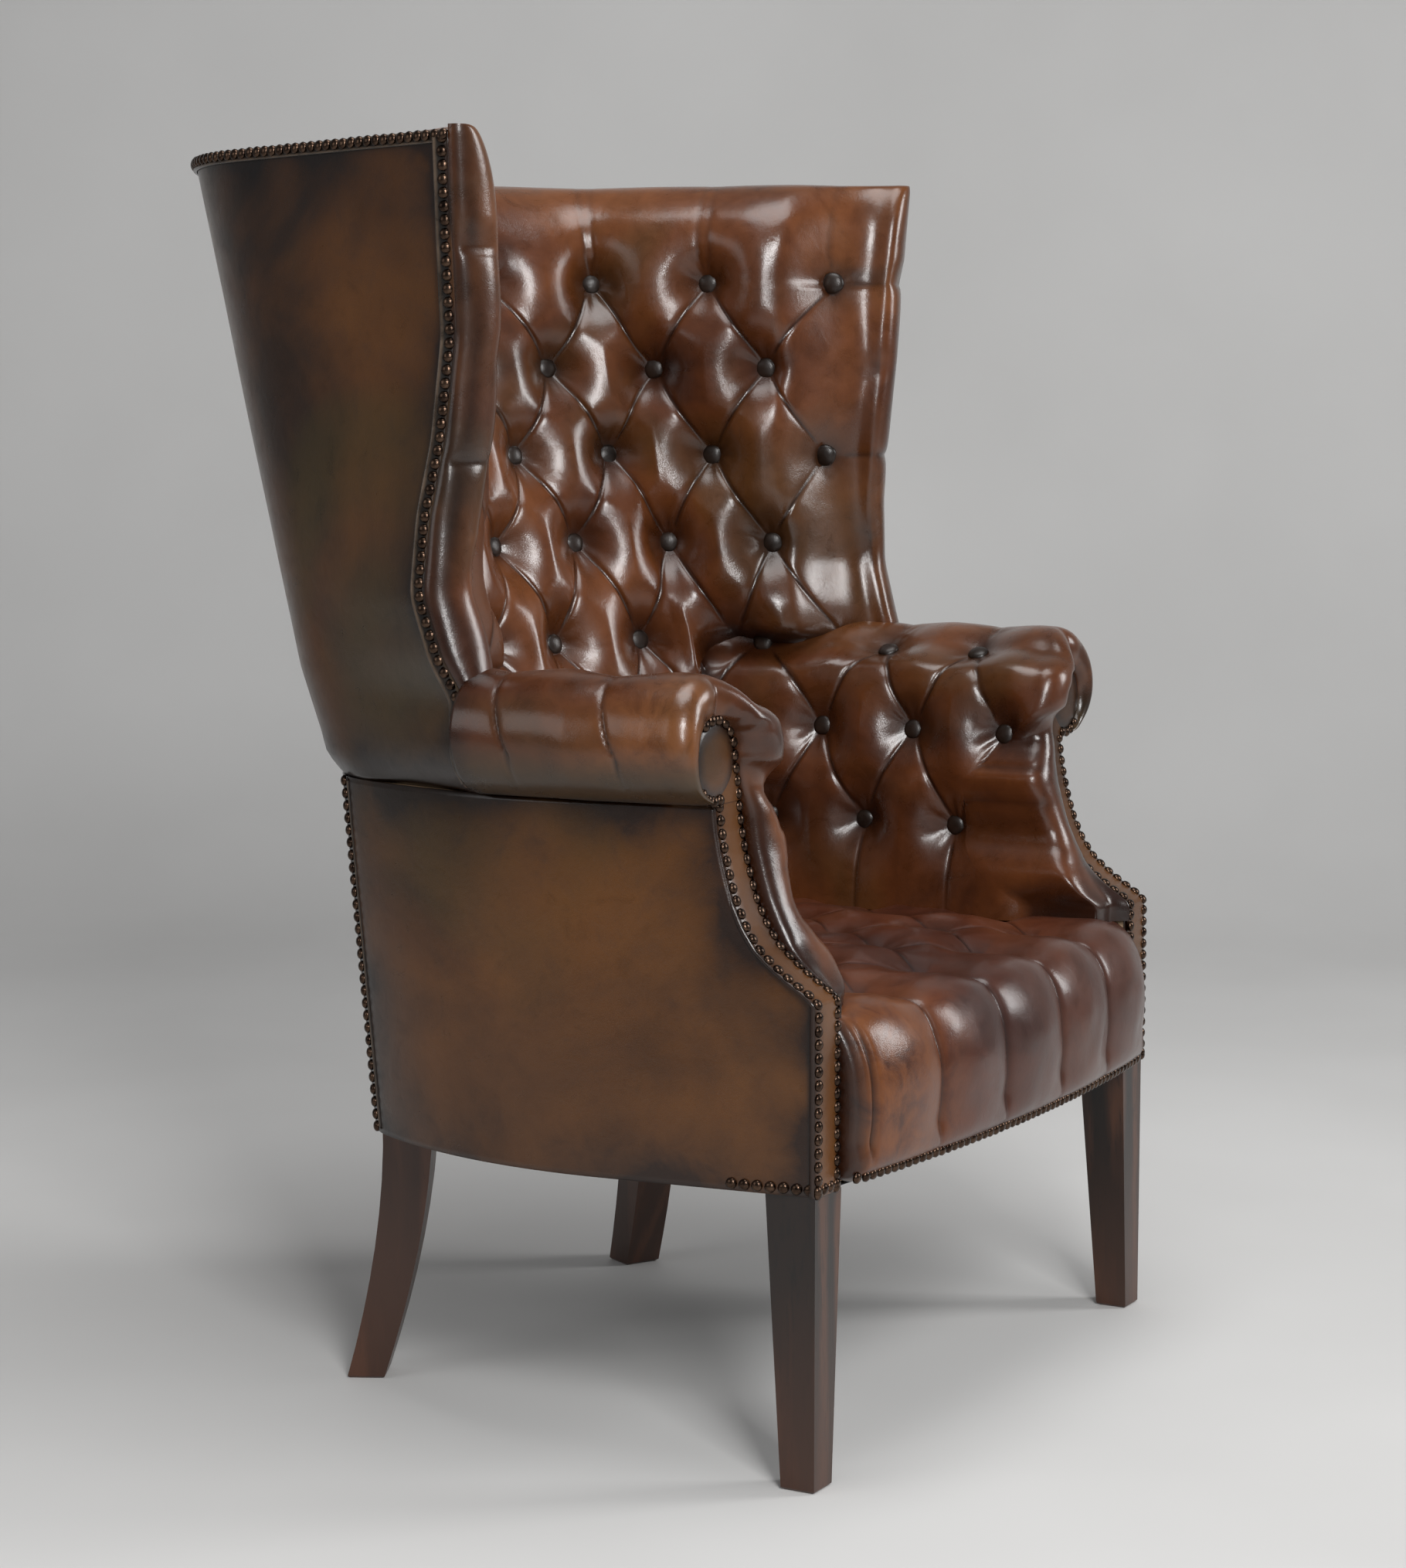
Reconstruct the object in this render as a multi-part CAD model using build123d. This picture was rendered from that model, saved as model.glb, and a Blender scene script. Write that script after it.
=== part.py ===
from build123d import *
from math import atan2, cos, floor, hypot, pi, radians, sin, sqrt
import os

os.makedirs("parts", exist_ok=True)

# Hall porter chair: a deep-buttoned leather barrel armchair with wings, on four mahogany legs.
# Millimetres, Z up, the sitter faces -Y and the sitter's left side is +X.
# Every outline is written from the front plane of the arms, and the finished chair is moved
# back by reach_shift, so that the origin lies on the floor under the middle of the chair.

# Heights above the floor
leg_height = 247.0
seat_edge_height = 396.0
arm_sweep_start = 405.0
arm_seam_height = 562.0
shell_top_height = 1104.0

# Rises above the arm seam: hem and waist of the outside leather, middle and top of the arm roll
hem_rise = 35.0
waist_rise = 93.0
roll_rise = 52.0
arm_rise = 108.0
padding_rise = 9.0

# Outside leather below the arm seam: depth at the back centre and radii of its bends
base_depth = 562.0
seam_depth = 597.0
base_back_radius = 514.0
seam_back_radius = 505.0
base_corner_radius = 87.0
seam_corner_radius = 95.0
base_side_radius = 420.0
seam_side_radius = 430.0
base_turn_angles = (35, 62, 97)
seam_turn_angles = (36, 64, 98)

# Outside leather above the arm seam
hem_depth = 622.0
waist_depth = 648.0
top_depth = 772.0
hem_back_radius = 494.0
waist_back_radius = 480.0
top_back_radius = 422.0
hem_corner_radius = 126.0
waist_corner_radius = 140.0
top_corner_radius = 215.0
hem_turn_angle = 36
waist_turn_angle = 36.5
top_turn_angle = 38

# Front edge of the wings: half width and distance behind the arm fronts
wing_half_width = 412.0
wing_setback = 305.0
# share of the height from hem to top, of the half width, of the setback
wing_edge_shares = (
    (0.000, 0.967, 0.992), (0.092, 0.970, 0.990), (0.114, 0.977, 1.008), (0.155, 0.990, 1.040),
    (0.260, 0.998, 1.093), (0.385, 0.983, 1.082), (0.510, 0.965, 1.046), (0.677, 0.961, 1.013),
    (0.833, 0.981, 1.008), (1.000, 1.003, 0.998),
)
hem_half_width = 371.0
# share of the height from arm seam to hem, share of the swell there
hem_swell_shares = ((0.00, 0.00), (0.25, 0.44), (0.60, 0.84), (1.00, 1.00))

# Arm front: it sweeps back from the seat to the scroll
arm_sweep_reach = 92.0
# share of the height from sweep start to seam, share of the reach
arm_sweep_shares = (
    (0.00, 0.00), (0.04, 0.08), (0.10, 0.25), (0.17, 0.42), (0.255, 0.587), (0.363, 0.717),
    (0.484, 0.815), (0.605, 0.88), (0.732, 0.935), (0.866, 0.978), (1.00, 1.00),
)
facing_width = 43.0
facing_half_reach = 348.0
scroll_disc_radius = 36.0

# Arm roll
roll_width = 59.0
roll_front_offset = 353.0
roll_back_offset = 366.0
roll_rim_reach = 62.0
roll_rim_depth = 26.0
roll_rim_radius = 22.0
roll_edge = 12.0

# Layers from the outside leather inwards
leather = 4.0
layer_clearance = 0.4
frame_thickness = 33.0
post_thickness = 28.0
padding_base = 39.8
button_depth = 97.0
back_puff = 34.0
arm_puff = 28.0
canvas_thickness = 1.2
canvas_inset = 37.6
seam_clearance = 1.5

# Inside of the barrel, measured at the buttons
seat_level_depth = 481.0
arm_level_depth = 550.0
top_level_depth = 675.0
seat_level_radius = 400.0
arm_level_radius = 383.0
top_level_radius = 325.0
seat_level_corner = 90.0
arm_level_corner = 60.0
top_level_corner = 118.0
arm_shoulder = 84.0
# share of the height from seat to arm top, share of the shoulder that the inside moves out by
arm_shoulder_shares = (
    (0.00, 0.00), (0.37, 0.00), (0.62, 0.05), (0.78, 0.17), (0.87, 0.33), (0.943, 0.52),
    (0.986, 0.75), (1.00, 0.90),
)
arm_band_depth = 20.0
arm_band_reach = 66.0
wing_inner_inset = 97.0
wing_roll_thickness = 68.0
wing_roll_reach = 28.0

# Buttoning: rows as shares of the height of the back and of the arms, and the pitch of the columns
back_row_shares = (0.783, 0.588, 0.387, 0.184)
arm_row_shares = (0.934, 0.628, 0.292)
back_column_share = 0.11375
seat_column_pitch = 49.0
arm_column_pitch = 50.0
arm_column_start = 370.0
button_radius = 10.0
button_height = 6.0
button_lift = 0.9
dimple_radius = 15.0
button_sides = 6
facets_per_column = 3
lower_facets = (9, 4, 7, 1)
upper_facets = (8, 5, 1)
canvas_facets = (6, 4, 5, 1)
back_canvas_facets = (6, 4, 1)
last_back_column = 8
seam_column = 5
last_arm_column = 5
first_arm_row = 4

# Seat
seat_half_width = 303.0
seat_bow = 20.0
seat_bow_half_width = 310.0
seat_bulge = 30.0
# share of the height from rail bottom to seat edge, share of the bulge
seat_front_shares = (
    (0.00, 0.00), (0.03, 0.45), (0.10, 0.78), (0.25, 0.90), (0.42, 1.00), (0.62, 0.95), (0.79, 0.67),
    (0.91, 0.10),
)
seat_crown = 9.0
seat_tuft = 9.0
flute_depth = 9.0
flute_pitch = 60.0
seat_row_pitch = 75.0
seat_first_row = 45.0
seat_rows = 6

# Frame
rail_height = 62.0
rail_lift = 4.5
front_rail_thickness = 36.0
post_depth = 38.0
wing_post_width = 40.0
back_post_width = 44.0
arm_rail_height = 44.0
level_rail_height = 46.0
top_rail_height = 46.0
slat_width = 52.0
slat_spacing = 135.0
slat_thickness = 20.0
block_size = 70.0

# Legs
front_leg_top = 46.0
front_leg_foot = 31.0
front_leg_offset = 345.0
front_leg_setback = 1.0
rear_leg_top_width = 44.0
rear_leg_top_depth = 46.0
rear_leg_foot_width = 39.0
rear_leg_foot_depth = 34.0
rear_leg_offset = 226.0
rear_leg_setback = 456.0
rear_leg_sweep = 47.0
rear_leg_turn = 27
foot_chamfer = 2.0
dowel_radius = 9.0
dowel_length = 34.0
dowel_clearance = 0.3

# Seat suspension
web_width = 50.0
web_thickness = 1.3
spring_radius = 34.0
spring_waist = 24.0
spring_wire = 3.6
spring_pitch = 115.0
spring_centre = 215.0
spring_turns = 3
spring_points_per_turn = 4
cover_thickness = 1.0

shell_hem_height = arm_seam_height + hem_rise
shell_waist_height = arm_seam_height + waist_rise
roll_height = arm_seam_height + roll_rise
arm_top_height = arm_seam_height + arm_rise
padding_top_height = shell_top_height + padding_rise
front_reach = seat_bow + seat_bulge
reach_shift = (top_depth - front_reach) / 2
rail_bottom = leg_height + rail_lift
rail_top = rail_bottom + rail_height
seat_bottom = rail_top + canvas_thickness + layer_clearance
pad_bottom = seat_edge_height + layer_clearance
frame_face = leather + layer_clearance
frame_inner = frame_face + frame_thickness


# Small helpers

def mix(start, end, share):
    return start + (end - start) * share


button_rows = [mix(arm_top_height, shell_top_height, share) for share in back_row_shares]
button_rows += [mix(seat_edge_height, arm_top_height, share) for share in arm_row_shares]


def share_of(value, start, end):
    return min(1.0, max(0.0, (value - start) / (end - start)))


def smooth(share):
    return share * share * (3 - 2 * share)


def along(table, value, column=1):
    """Straight-line reading of a table of shares."""
    for before, after in zip(table, table[1:]):
        if value <= after[0]:
            return mix(before[column], after[column], share_of(value, before[0], after[0]))
    return table[-1][column]


# Outlines seen from above

class Outline:
    """Half of the barrel: arcs from the back centre, each (radius, end angle), then a straight run."""

    def __init__(self, depth, arcs, straight):
        self.depth = depth
        self.arcs = arcs
        self.straight = straight
        self.marks = [0.0]
        angle = 0.0
        for radius, end in arcs:
            self.marks.append(self.marks[-1] + radius * (end - angle))
            angle = end
        self.length = self.marks[-1] + straight

    def place(self, run, inset=0.0):
        """Point and outward heading at a signed run from the back centre, moved inwards by inset."""
        side = -1 if run < 0 else 1
        left = abs(run)
        x, y, angle = 0.0, self.depth, 0.0
        for radius, end in self.arcs:
            turn = min(left / radius, end - angle)
            x += radius * (sin(angle + turn) - sin(angle))
            y -= radius * (cos(angle) - cos(angle + turn))
            left -= radius * turn
            angle += turn
            if angle < end - radians(0.001):
                return side * (x - inset * sin(angle)), y - inset * cos(angle), angle
        x += left * cos(angle)
        y -= left * sin(angle)
        return side * (x - inset * sin(angle)), y - inset * cos(angle), angle

    def run_at(self, y_wanted, inset=0.0):
        """Run at which the outline has come forward to a given depth."""
        low, high = 0.0, self.length
        for step in range(40):
            middle = (low + high) / 2
            if self.place(middle, inset)[1] > y_wanted:
                low = middle
            else:
                high = middle
        return (low + high) / 2


def tangent_outline(depth, radius, turn, corner_radius, front_x, front_y):
    """Back arc, corner arc and a straight run that just meets a given front point."""
    end_x = radius * sin(turn)
    end_y = depth - radius * (1 - cos(turn))
    dx = front_x - (end_x - corner_radius * sin(turn))
    dy = front_y - (end_y - corner_radius * cos(turn))
    straight = sqrt(dx * dx + dy * dy - corner_radius * corner_radius)
    end = atan2(dx * corner_radius - dy * straight, dy * corner_radius + dx * straight)
    return Outline(depth, ((radius, turn), (corner_radius, end)), straight)


def arm_front(z):
    """How far the arm front lies behind the front plane at a height."""
    return arm_sweep_reach * along(arm_sweep_shares, share_of(z, arm_sweep_start, arm_seam_height))


def lower_shell(z):
    """Outside leather below the arm seam."""
    share = share_of(z, leg_height, arm_seam_height)
    depth = mix(base_depth, seam_depth, share)
    radii = (
        mix(base_back_radius, seam_back_radius, share),
        mix(base_corner_radius, seam_corner_radius, share),
        mix(base_side_radius, seam_side_radius, share),
    )
    turns = [radians(mix(a, b, share)) for a, b in zip(base_turn_angles, seam_turn_angles)]
    bends = Outline(depth, tuple(zip(radii, turns)), 0.0)
    end_y = bends.place(bends.length)[1]
    return Outline(depth, bends.arcs, (end_y - arm_front(z)) / sin(turns[-1]))


def three_levels(z, low, middle, high):
    """Value at a height of the shell, from its values at the hem, the waist and the top."""
    if z < shell_waist_height:
        return mix(low, middle, share_of(z, shell_hem_height, shell_waist_height))
    return mix(middle, high, share_of(z, shell_waist_height, shell_top_height))


def wing_edge(z):
    share = share_of(z, shell_hem_height, shell_top_height)
    swell = along(hem_swell_shares, share_of(z, arm_seam_height, shell_hem_height))
    edge_x = wing_half_width * along(wing_edge_shares, share, 1)
    return mix(hem_half_width, edge_x, swell), wing_setback * along(wing_edge_shares, share, 2)


def panel_heights():
    """Levels between which the outside leather runs straight."""
    low = [mix(arm_seam_height, shell_hem_height, shares[0]) for shares in hem_swell_shares[1:-1]]
    high = [mix(shell_hem_height, shell_top_height, shares[0]) for shares in wing_edge_shares]
    return [arm_seam_height + layer_clearance] + low + high


def upper_shell(z):
    """Outside leather above the arm seam."""
    front_x, front_y = wing_edge(z)
    swell = along(hem_swell_shares, share_of(z, arm_seam_height, shell_hem_height))
    depth = mix(seam_depth + layer_clearance, hem_depth, swell)
    return tangent_outline(
        three_levels(z, depth, waist_depth, top_depth),
        three_levels(z, hem_back_radius, waist_back_radius, top_back_radius),
        radians(three_levels(z, hem_turn_angle, waist_turn_angle, top_turn_angle)),
        three_levels(z, hem_corner_radius, waist_corner_radius, top_corner_radius),
        front_x,
        front_y,
    )


def shell(z):
    """Outside leather at any height."""
    return lower_shell(z) if z <= arm_seam_height else upper_shell(z)


def inner_back(z):
    """Line of the buttons inside the barrel and the wings, above the arms."""
    share = share_of(z, shell_waist_height, shell_top_height)
    outside = upper_shell(z)
    front_x, front_y, angle = outside.place(outside.length, wing_inner_inset)
    return tangent_outline(
        mix(arm_level_depth, top_level_depth, share),
        mix(arm_level_radius, top_level_radius, share),
        radians(mix(waist_turn_angle, top_turn_angle, share)),
        mix(arm_level_corner, top_level_corner, share),
        front_x,
        front_y,
    )


def inner_seat_level(z):
    """Line of the buttons between the arms: back arc, corner arc and the straight inside of the arm."""
    share = (z - seat_edge_height) / (shell_waist_height - seat_edge_height)
    depth = mix(seat_level_depth, arm_level_depth, share)
    radius = mix(seat_level_radius, arm_level_radius, share)
    turn = radians(mix(seam_turn_angles[0], waist_turn_angle, share))
    return Outline(depth, ((radius, turn), (seat_level_corner, pi / 2)), arm_column_start)


# Buttoning

def row_place(z):
    """Height counted in rows of buttons, downwards from the first row."""
    first, second = button_rows[:2]
    if z >= first:
        return (first - z) / (first - second)
    for index, (above, below) in enumerate(zip(button_rows, button_rows[1:])):
        if z >= below:
            return index + (above - z) / (above - below)
    return len(button_rows) - 1 + (button_rows[-1] - z) / (button_rows[-2] - button_rows[-1])


def row_height(row):
    """Height of a place counted in rows, the inverse of row_place."""
    last = len(button_rows) - 1
    index = min(max(int(row), 0), last - 1)
    return mix(button_rows[index], button_rows[index + 1], row - index)


def puff(column, row, last_column, rows, pitches):
    """Share of the full puff: none at a button, a little along a pleat, all inside a diamond."""
    pleat_share = 0.6
    fade_share = 0.55
    one = abs(sin(pi * (column + row) / 2))
    two = abs(sin(pi * (column - row) / 2))
    swell = mix(sqrt(one * two), (one + two) / 2, pleat_share)
    first_row, last_row = rows
    column_pitch, row_pitch = pitches
    inner_row = min(max(row, first_row), last_row)
    if row != inner_row:
        channel = abs(sin(pi * (column + inner_row) / 2))
        swell = mix(channel, 1, fade_share * min(1, abs(row - inner_row)))
    elif column > last_column:
        channel = abs(sin(pi * (row + last_column) / 2))
        swell = mix(channel, 1, fade_share * min(1, column - last_column))
    near_row = min(max(round(row), first_row), last_row)
    near_column = near_row % 2 + 2 * round((column - near_row % 2) / 2)
    away = hypot((column - near_column) * column_pitch, (row - near_row) * row_pitch)
    return swell * smooth(share_of(away, dimple_radius, column_pitch))


# Solids made of flat facets between level rings of points

def facet(a, b, c):
    return Face(Wire.make_polygon([a, b, c], close=True))


def stacked(rings, leaning=None):
    """Closed solid through rings with the same number of points, closed by flat ends."""
    faces = [Face(Wire.make_polygon(rings[0], close=True)), Face(Wire.make_polygon(rings[-1], close=True))]
    count = len(rings[0])
    for level, (low, high) in enumerate(zip(rings, rings[1:])):
        for index in range(count):
            after = (index + 1) % count
            a, b, c, d = low[index], low[after], high[after], high[index]
            if leaning and leaning(index, level):
                faces += [facet(a, b, d), facet(b, c, d)]
            else:
                faces += [facet(a, b, c), facet(a, c, d)]
    return Solid(Shell(faces))


def along_pleats(columns, rows):
    """Says which way to split each facet, so that the split lies along the pleats."""
    def leaning(index, level):
        if index + 1 >= len(columns) or level + 1 >= len(rows):
            return False
        column = (columns[index] + columns[index + 1]) / 2
        row = (rows[level] + rows[level + 1]) / 2
        return (floor(column) + floor(row)) % 2 == 0
    return leaning


def mirrored(piece):
    return mirror(piece, about=Plane.YZ)


def rows_between(bottom, top, step):
    """Places in rows from a bottom height up to a top height, on the facet grid of the buttons."""
    start, end = row_place(bottom), row_place(top)
    grid = [level / step for level in range(int(start * step) + 1, int(end * step) - 1, -1)]
    inner = [row for row in grid if end + 0.4 / step < row < start - 0.4 / step]
    return [start] + inner + [end]


# Bands of the shell

def bend_runs(outline, facets):
    """Runs at which a band bends, for a number of facets on each arc and straight."""
    stops = []
    for low, high, count in zip(outline.marks, outline.marks[1:] + [outline.length], facets):
        stops += [mix(low, high, (index + 1) / count) for index in range(count)]
    return [-run for run in reversed(stops)] + [0.0] + stops


def shell_band(heights, outside, inside, limits, facets=lower_facets):
    """Band between two insets of the shell; limits gives the start and end runs of an outline."""
    outlines = [shell(z) for z in heights]
    bends = [bend_runs(outline, facets) for outline in outlines]
    ends = [limits(outline) for outline in outlines]
    levels = list(zip(bends, ends))
    kept = range(len(bends[0]))
    kept = [n for n in kept if all(low + leather < runs[n] < high - leather for runs, (low, high) in levels)]
    rings = []
    for z, outline, (runs, (low, high)) in zip(heights, outlines, levels):
        stops = [low] + [runs[n] for n in kept] + [high]
        outer = [outline.place(run, outside)[:2] + (z,) for run in stops]
        inner = [outline.place(run, inside)[:2] + (z,) for run in reversed(stops)]
        rings.append(outer + inner)
    return stacked(rings)


def shell_post(heights, outside, inside, middle, width):
    """Upright that follows the shell; middle gives its run on an outline."""
    rings = []
    for z in heights:
        outline = shell(z)
        start, end = middle(outline) - width / 2, middle(outline) + width / 2
        corners = [(start, outside), (end, outside), (end, inside), (start, inside)]
        rings.append([outline.place(run, inset)[:2] + (z,) for run, inset in corners])
    return stacked(rings)


# Outside leather

def rear_corner(outline):
    """Run of the nailed corner between the side leather and the back leather."""
    return (outline.marks[1] + outline.marks[2]) / 2


def outer_back_panel():
    """One smooth piece round the barrel and both wings, above the arm seam."""
    return shell_band(panel_heights(), 0, leather, lambda line: (-line.length, line.length), upper_facets)


def lower_back_panel():
    """Leather across the back below the arm seam."""
    def limits(outline):
        end = rear_corner(outline) - layer_clearance
        return -end, end
    return shell_band((leg_height, arm_seam_height), 0, leather, limits)


def arm_curve(offset, bottom, top):
    """Side view of the arm front, moved back by an offset."""
    points = [(offset, bottom)]
    for height_share, reach_share in arm_sweep_shares:
        z = mix(arm_sweep_start, arm_seam_height, height_share)
        if bottom < z < top:
            points.append((offset + arm_sweep_reach * reach_share, z))
    points.append((offset + arm_front(top), top))
    return points


def swept_board(ahead, behind, bottom, top, inner_x, outer_x):
    """Board with the sweep of the arm front, between two distances behind its face."""
    front = arm_curve(ahead, bottom, top)
    rear = arm_curve(behind, bottom, top)
    outline = [(inner_x, y, z) for y, z in front + list(reversed(rear))]
    return extrude(Face(Wire.make_polygon(outline, close=True)), outer_x - inner_x, dir=(1, 0, 0))


def side_panel():
    """Outside arm leather, cut in front along the sweep of the arm."""
    def limits(outline):
        return rear_corner(outline), outline.length + arm_front(arm_seam_height) / sin(outline.arcs[-1][1])
    cutter = swept_board(
        -2 * arm_sweep_reach, frame_face, leg_height - leather, arm_seam_height + leather,
        facing_half_reach - facing_width, facing_half_reach + facing_width,
    )
    return shell_band((leg_height, arm_seam_height), 0, leather, limits) - cutter


# Arm front

def scroll_disc(radius, front, back):
    """Round head of the scroll, lying across the arm front."""
    centre_x = facing_half_reach + leather
    centre_z = arm_seam_height + scroll_disc_radius
    place = Plane(origin=(centre_x, front, centre_z), z_dir=(0, 1, 0))
    return Solid.make_cylinder(radius, back - front, place)


def facing():
    """Narrow leather strip up the arm front, ending in the scroll head."""
    inner = facing_half_reach - facing_width
    top = arm_seam_height + leather
    strip = swept_board(0, leather, leg_height, top, inner, facing_half_reach)
    return strip + scroll_disc(scroll_disc_radius, arm_sweep_reach, arm_sweep_reach + leather)


def post_sides():
    """Inner and outer side of the arm post."""
    narrowest = lower_shell(arm_sweep_start)
    outer = narrowest.place(narrowest.length, frame_face)[0]
    return outer - post_thickness, outer


def arm_post():
    """Wooden post behind the facing, from the seat rail up to the scroll."""
    inner, outer = post_sides()
    post = swept_board(frame_face, post_depth, rail_top, arm_seam_height + leather, inner, outer)
    head = scroll_disc(
        scroll_disc_radius - layer_clearance, arm_sweep_reach + frame_face, arm_sweep_reach + post_depth
    )
    return post + head


def arm_front_space():
    """Room that the arm padding leaves for the post, the facing and its scroll."""
    inner = facing_half_reach - facing_width - layer_clearance
    outer = facing_half_reach + layer_clearance
    top = arm_seam_height + leather
    back = post_depth + layer_clearance
    strip = swept_board(-arm_sweep_reach, frame_face, leg_height, top, inner, outer)
    board = swept_board(0, back, leg_height, top, post_sides()[0] - layer_clearance, outer)
    head = scroll_disc(scroll_disc_radius + layer_clearance, 0, arm_sweep_reach + back)
    return strip + board + head


# Buttoned padding

def pad_wall(z):
    """Outline that the rear of the padding follows."""
    return lower_shell(min(z, arm_seam_height)) if z < shell_hem_height else upper_shell(z)


def wall_points(z, start, end, count, inset=padding_base):
    """Points of the rear face of a pad between two runs of the shell."""
    outline = pad_wall(z)
    runs = [mix(start, end, index / (count - 1)) for index in range(count)]
    return [outline.place(run, inset)[:2] + (z,) for run in runs]


def back_pitch(z):
    """Half the distance between neighbouring buttons of a row of the back."""
    if z > arm_top_height:
        return inner_back(z).length * back_column_share
    share = share_of(z, seat_edge_height, arm_top_height)
    return mix(seat_column_pitch, inner_back(arm_top_height).length * back_column_share, share)


def row_pitch():
    return (button_rows[0] - button_rows[-1]) / (len(button_rows) - 1)


def back_inset(z, column):
    """How far the buttoned face stands in from the line of the buttons."""
    rows = (0, len(button_rows) - 1)
    return back_puff * puff(abs(column), row_place(z), last_back_column, rows, (back_pitch(z), row_pitch()))


def top_fall(z):
    """Share of its thickness that the padding has lost at a height, over the top edge."""
    crest_share = 0.6
    rise = share_of(z, button_rows[0], padding_top_height)
    return (1 - sqrt(1 - rise ** 4)) * crest_share


def back_point(z, column):
    """Point of the buttoned face above the arms, counted in half columns from the centre."""
    line = inner_back(z)
    run = back_pitch(z) * column
    edge = smooth(share_of(abs(run), back_pitch(z) * last_back_column, line.length))
    thickness = mix(button_depth + back_inset(z, column), wing_roll_thickness, edge)
    thickness -= (thickness - leather) * top_fall(z)
    return line.place(run, thickness - wing_inner_inset)[:2] + (z,)


def wing_end(z, extra=0):
    """Runs at which the padding ends by the wing roll: on the wall and on the line of buttons."""
    column_share = 0.97
    line = inner_back(z)
    short = line.length * (1 - column_share) - extra
    return upper_shell(z).length - short, line.length - short


def over_points(z, count):
    """Rear face of the padding where it rolls over the top of the shell."""
    cover_share = 0.25
    end = wing_end(z)[0]
    inset = mix(frame_face, button_depth * cover_share, share_of(z, shell_top_height, padding_top_height))
    return wall_points(z, end, -end, count, inset)


def inside_back():
    """Buttoned leather of the back and both wings, above the arms, with its stuffing."""
    rise_shares = (0.3, 0.55, 0.78, 0.9, 0.96, 1.0)
    wall_count = 15
    step = facets_per_column
    rows = rows_between(arm_top_height + layer_clearance, button_rows[0], step)
    heights = [row_height(row) for row in rows]
    heights += [mix(button_rows[0], padding_top_height, share) for share in rise_shares]
    columns = [index / step for index in range(-last_back_column * step, last_back_column * step + 1)]
    rings = []
    for z in heights:
        end, last_run = wing_end(z)
        last = last_run / back_pitch(z)
        middle = (last_back_column + last) / 2
        places = [-last, -middle] + columns + [middle, last]
        rear = wall_points(z, end, -end, wall_count) if z < shell_top_height else over_points(z, wall_count)
        rings.append([back_point(z, place) for place in places] + rear)
    return stacked(rings, along_pleats([columns[0], columns[0]] + columns, rows))


def seam_runs(z, extra=0):
    """Runs of the seam between back and arm padding: on the button line and on the wall behind."""
    line = inner_seat_level(z)
    run = back_pitch(z) * seam_column
    x, y, angle = line.place(run)
    wall = pad_wall(z)
    low, high = 0.0, wall.length
    for step in range(40):
        middle = (low + high) / 2
        wall_x, wall_y, heading = wall.place(middle, padding_base)
        if (wall_x - x) * cos(angle) < (wall_y - y) * sin(angle):
            low = middle
        else:
            high = middle
    return run + extra, low + extra


def lower_back_pad():
    """Buttoned leather between the arms, from the seat up to the arm tops."""
    step = facets_per_column
    rows = rows_between(pad_bottom, arm_top_height, step)
    columns = [index / step for index in range(-seam_column * step, seam_column * step + 1)]
    rings = []
    for row in rows:
        z = row_height(row)
        line = inner_seat_level(z)
        pitch = back_pitch(z)
        face = [line.place(pitch * column, back_inset(z, column))[:2] + (z,) for column in columns]
        end = seam_runs(z)[1]
        rings.append(face + wall_points(z, end, -end, 11))
    return stacked(rings, along_pleats(columns, rows))


def arm_taper(z):
    """Share of the puff that is left on the shoulder of the arm."""
    return 1 - smooth(share_of(z, roll_height, arm_top_height))


def arm_inset(z, column):
    rows = (first_arm_row, len(button_rows) - 1)
    pitches = (arm_column_pitch, row_pitch())
    return arm_puff * arm_taper(z) * puff(column, row_place(z), last_arm_column, rows, pitches)


def arm_point(z, column, inset):
    """Point inside the arm, counted in half columns forwards from the rear corner."""
    base = inner_seat_level(seat_edge_height)
    start_x, start_y, heading = base.place(seam_runs(seat_edge_height)[0])
    corner_y = base.place(base.marks[2])[1]
    y_wanted = arm_column_start - arm_column_pitch * column
    x, y, angle = base.place(base.marks[2] + corner_y - y_wanted, inset)
    seam_x, seam_y, heading = inner_seat_level(z).place(seam_runs(z)[0])
    turned = smooth(share_of(y_wanted, corner_y, arm_column_start + arm_column_pitch))
    straight = 1 - smooth(share_of(y_wanted, wing_setback - leather, arm_column_start))
    share = share_of(z, seat_edge_height, arm_top_height)
    shoulder = arm_shoulder * along(arm_shoulder_shares, share) * straight
    return x + turned * (seam_x - start_x) + shoulder, y + turned * (seam_y - start_y)


def roll_share(z):
    """Half width of the arm roll at a height, as a share of the widest."""
    reach = roll_height - arm_seam_height if z < roll_height else arm_top_height - roll_height
    return sqrt(max(0, 1 - ((z - roll_height) / reach) ** 2))


def roll_outer(y, z):
    """Outer side of the arm roll."""
    share = share_of(y, arm_sweep_reach, arm_sweep_reach + 2 * arm_column_pitch)
    return mix(roll_front_offset, roll_back_offset, share) + roll_width * roll_share(z)


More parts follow.
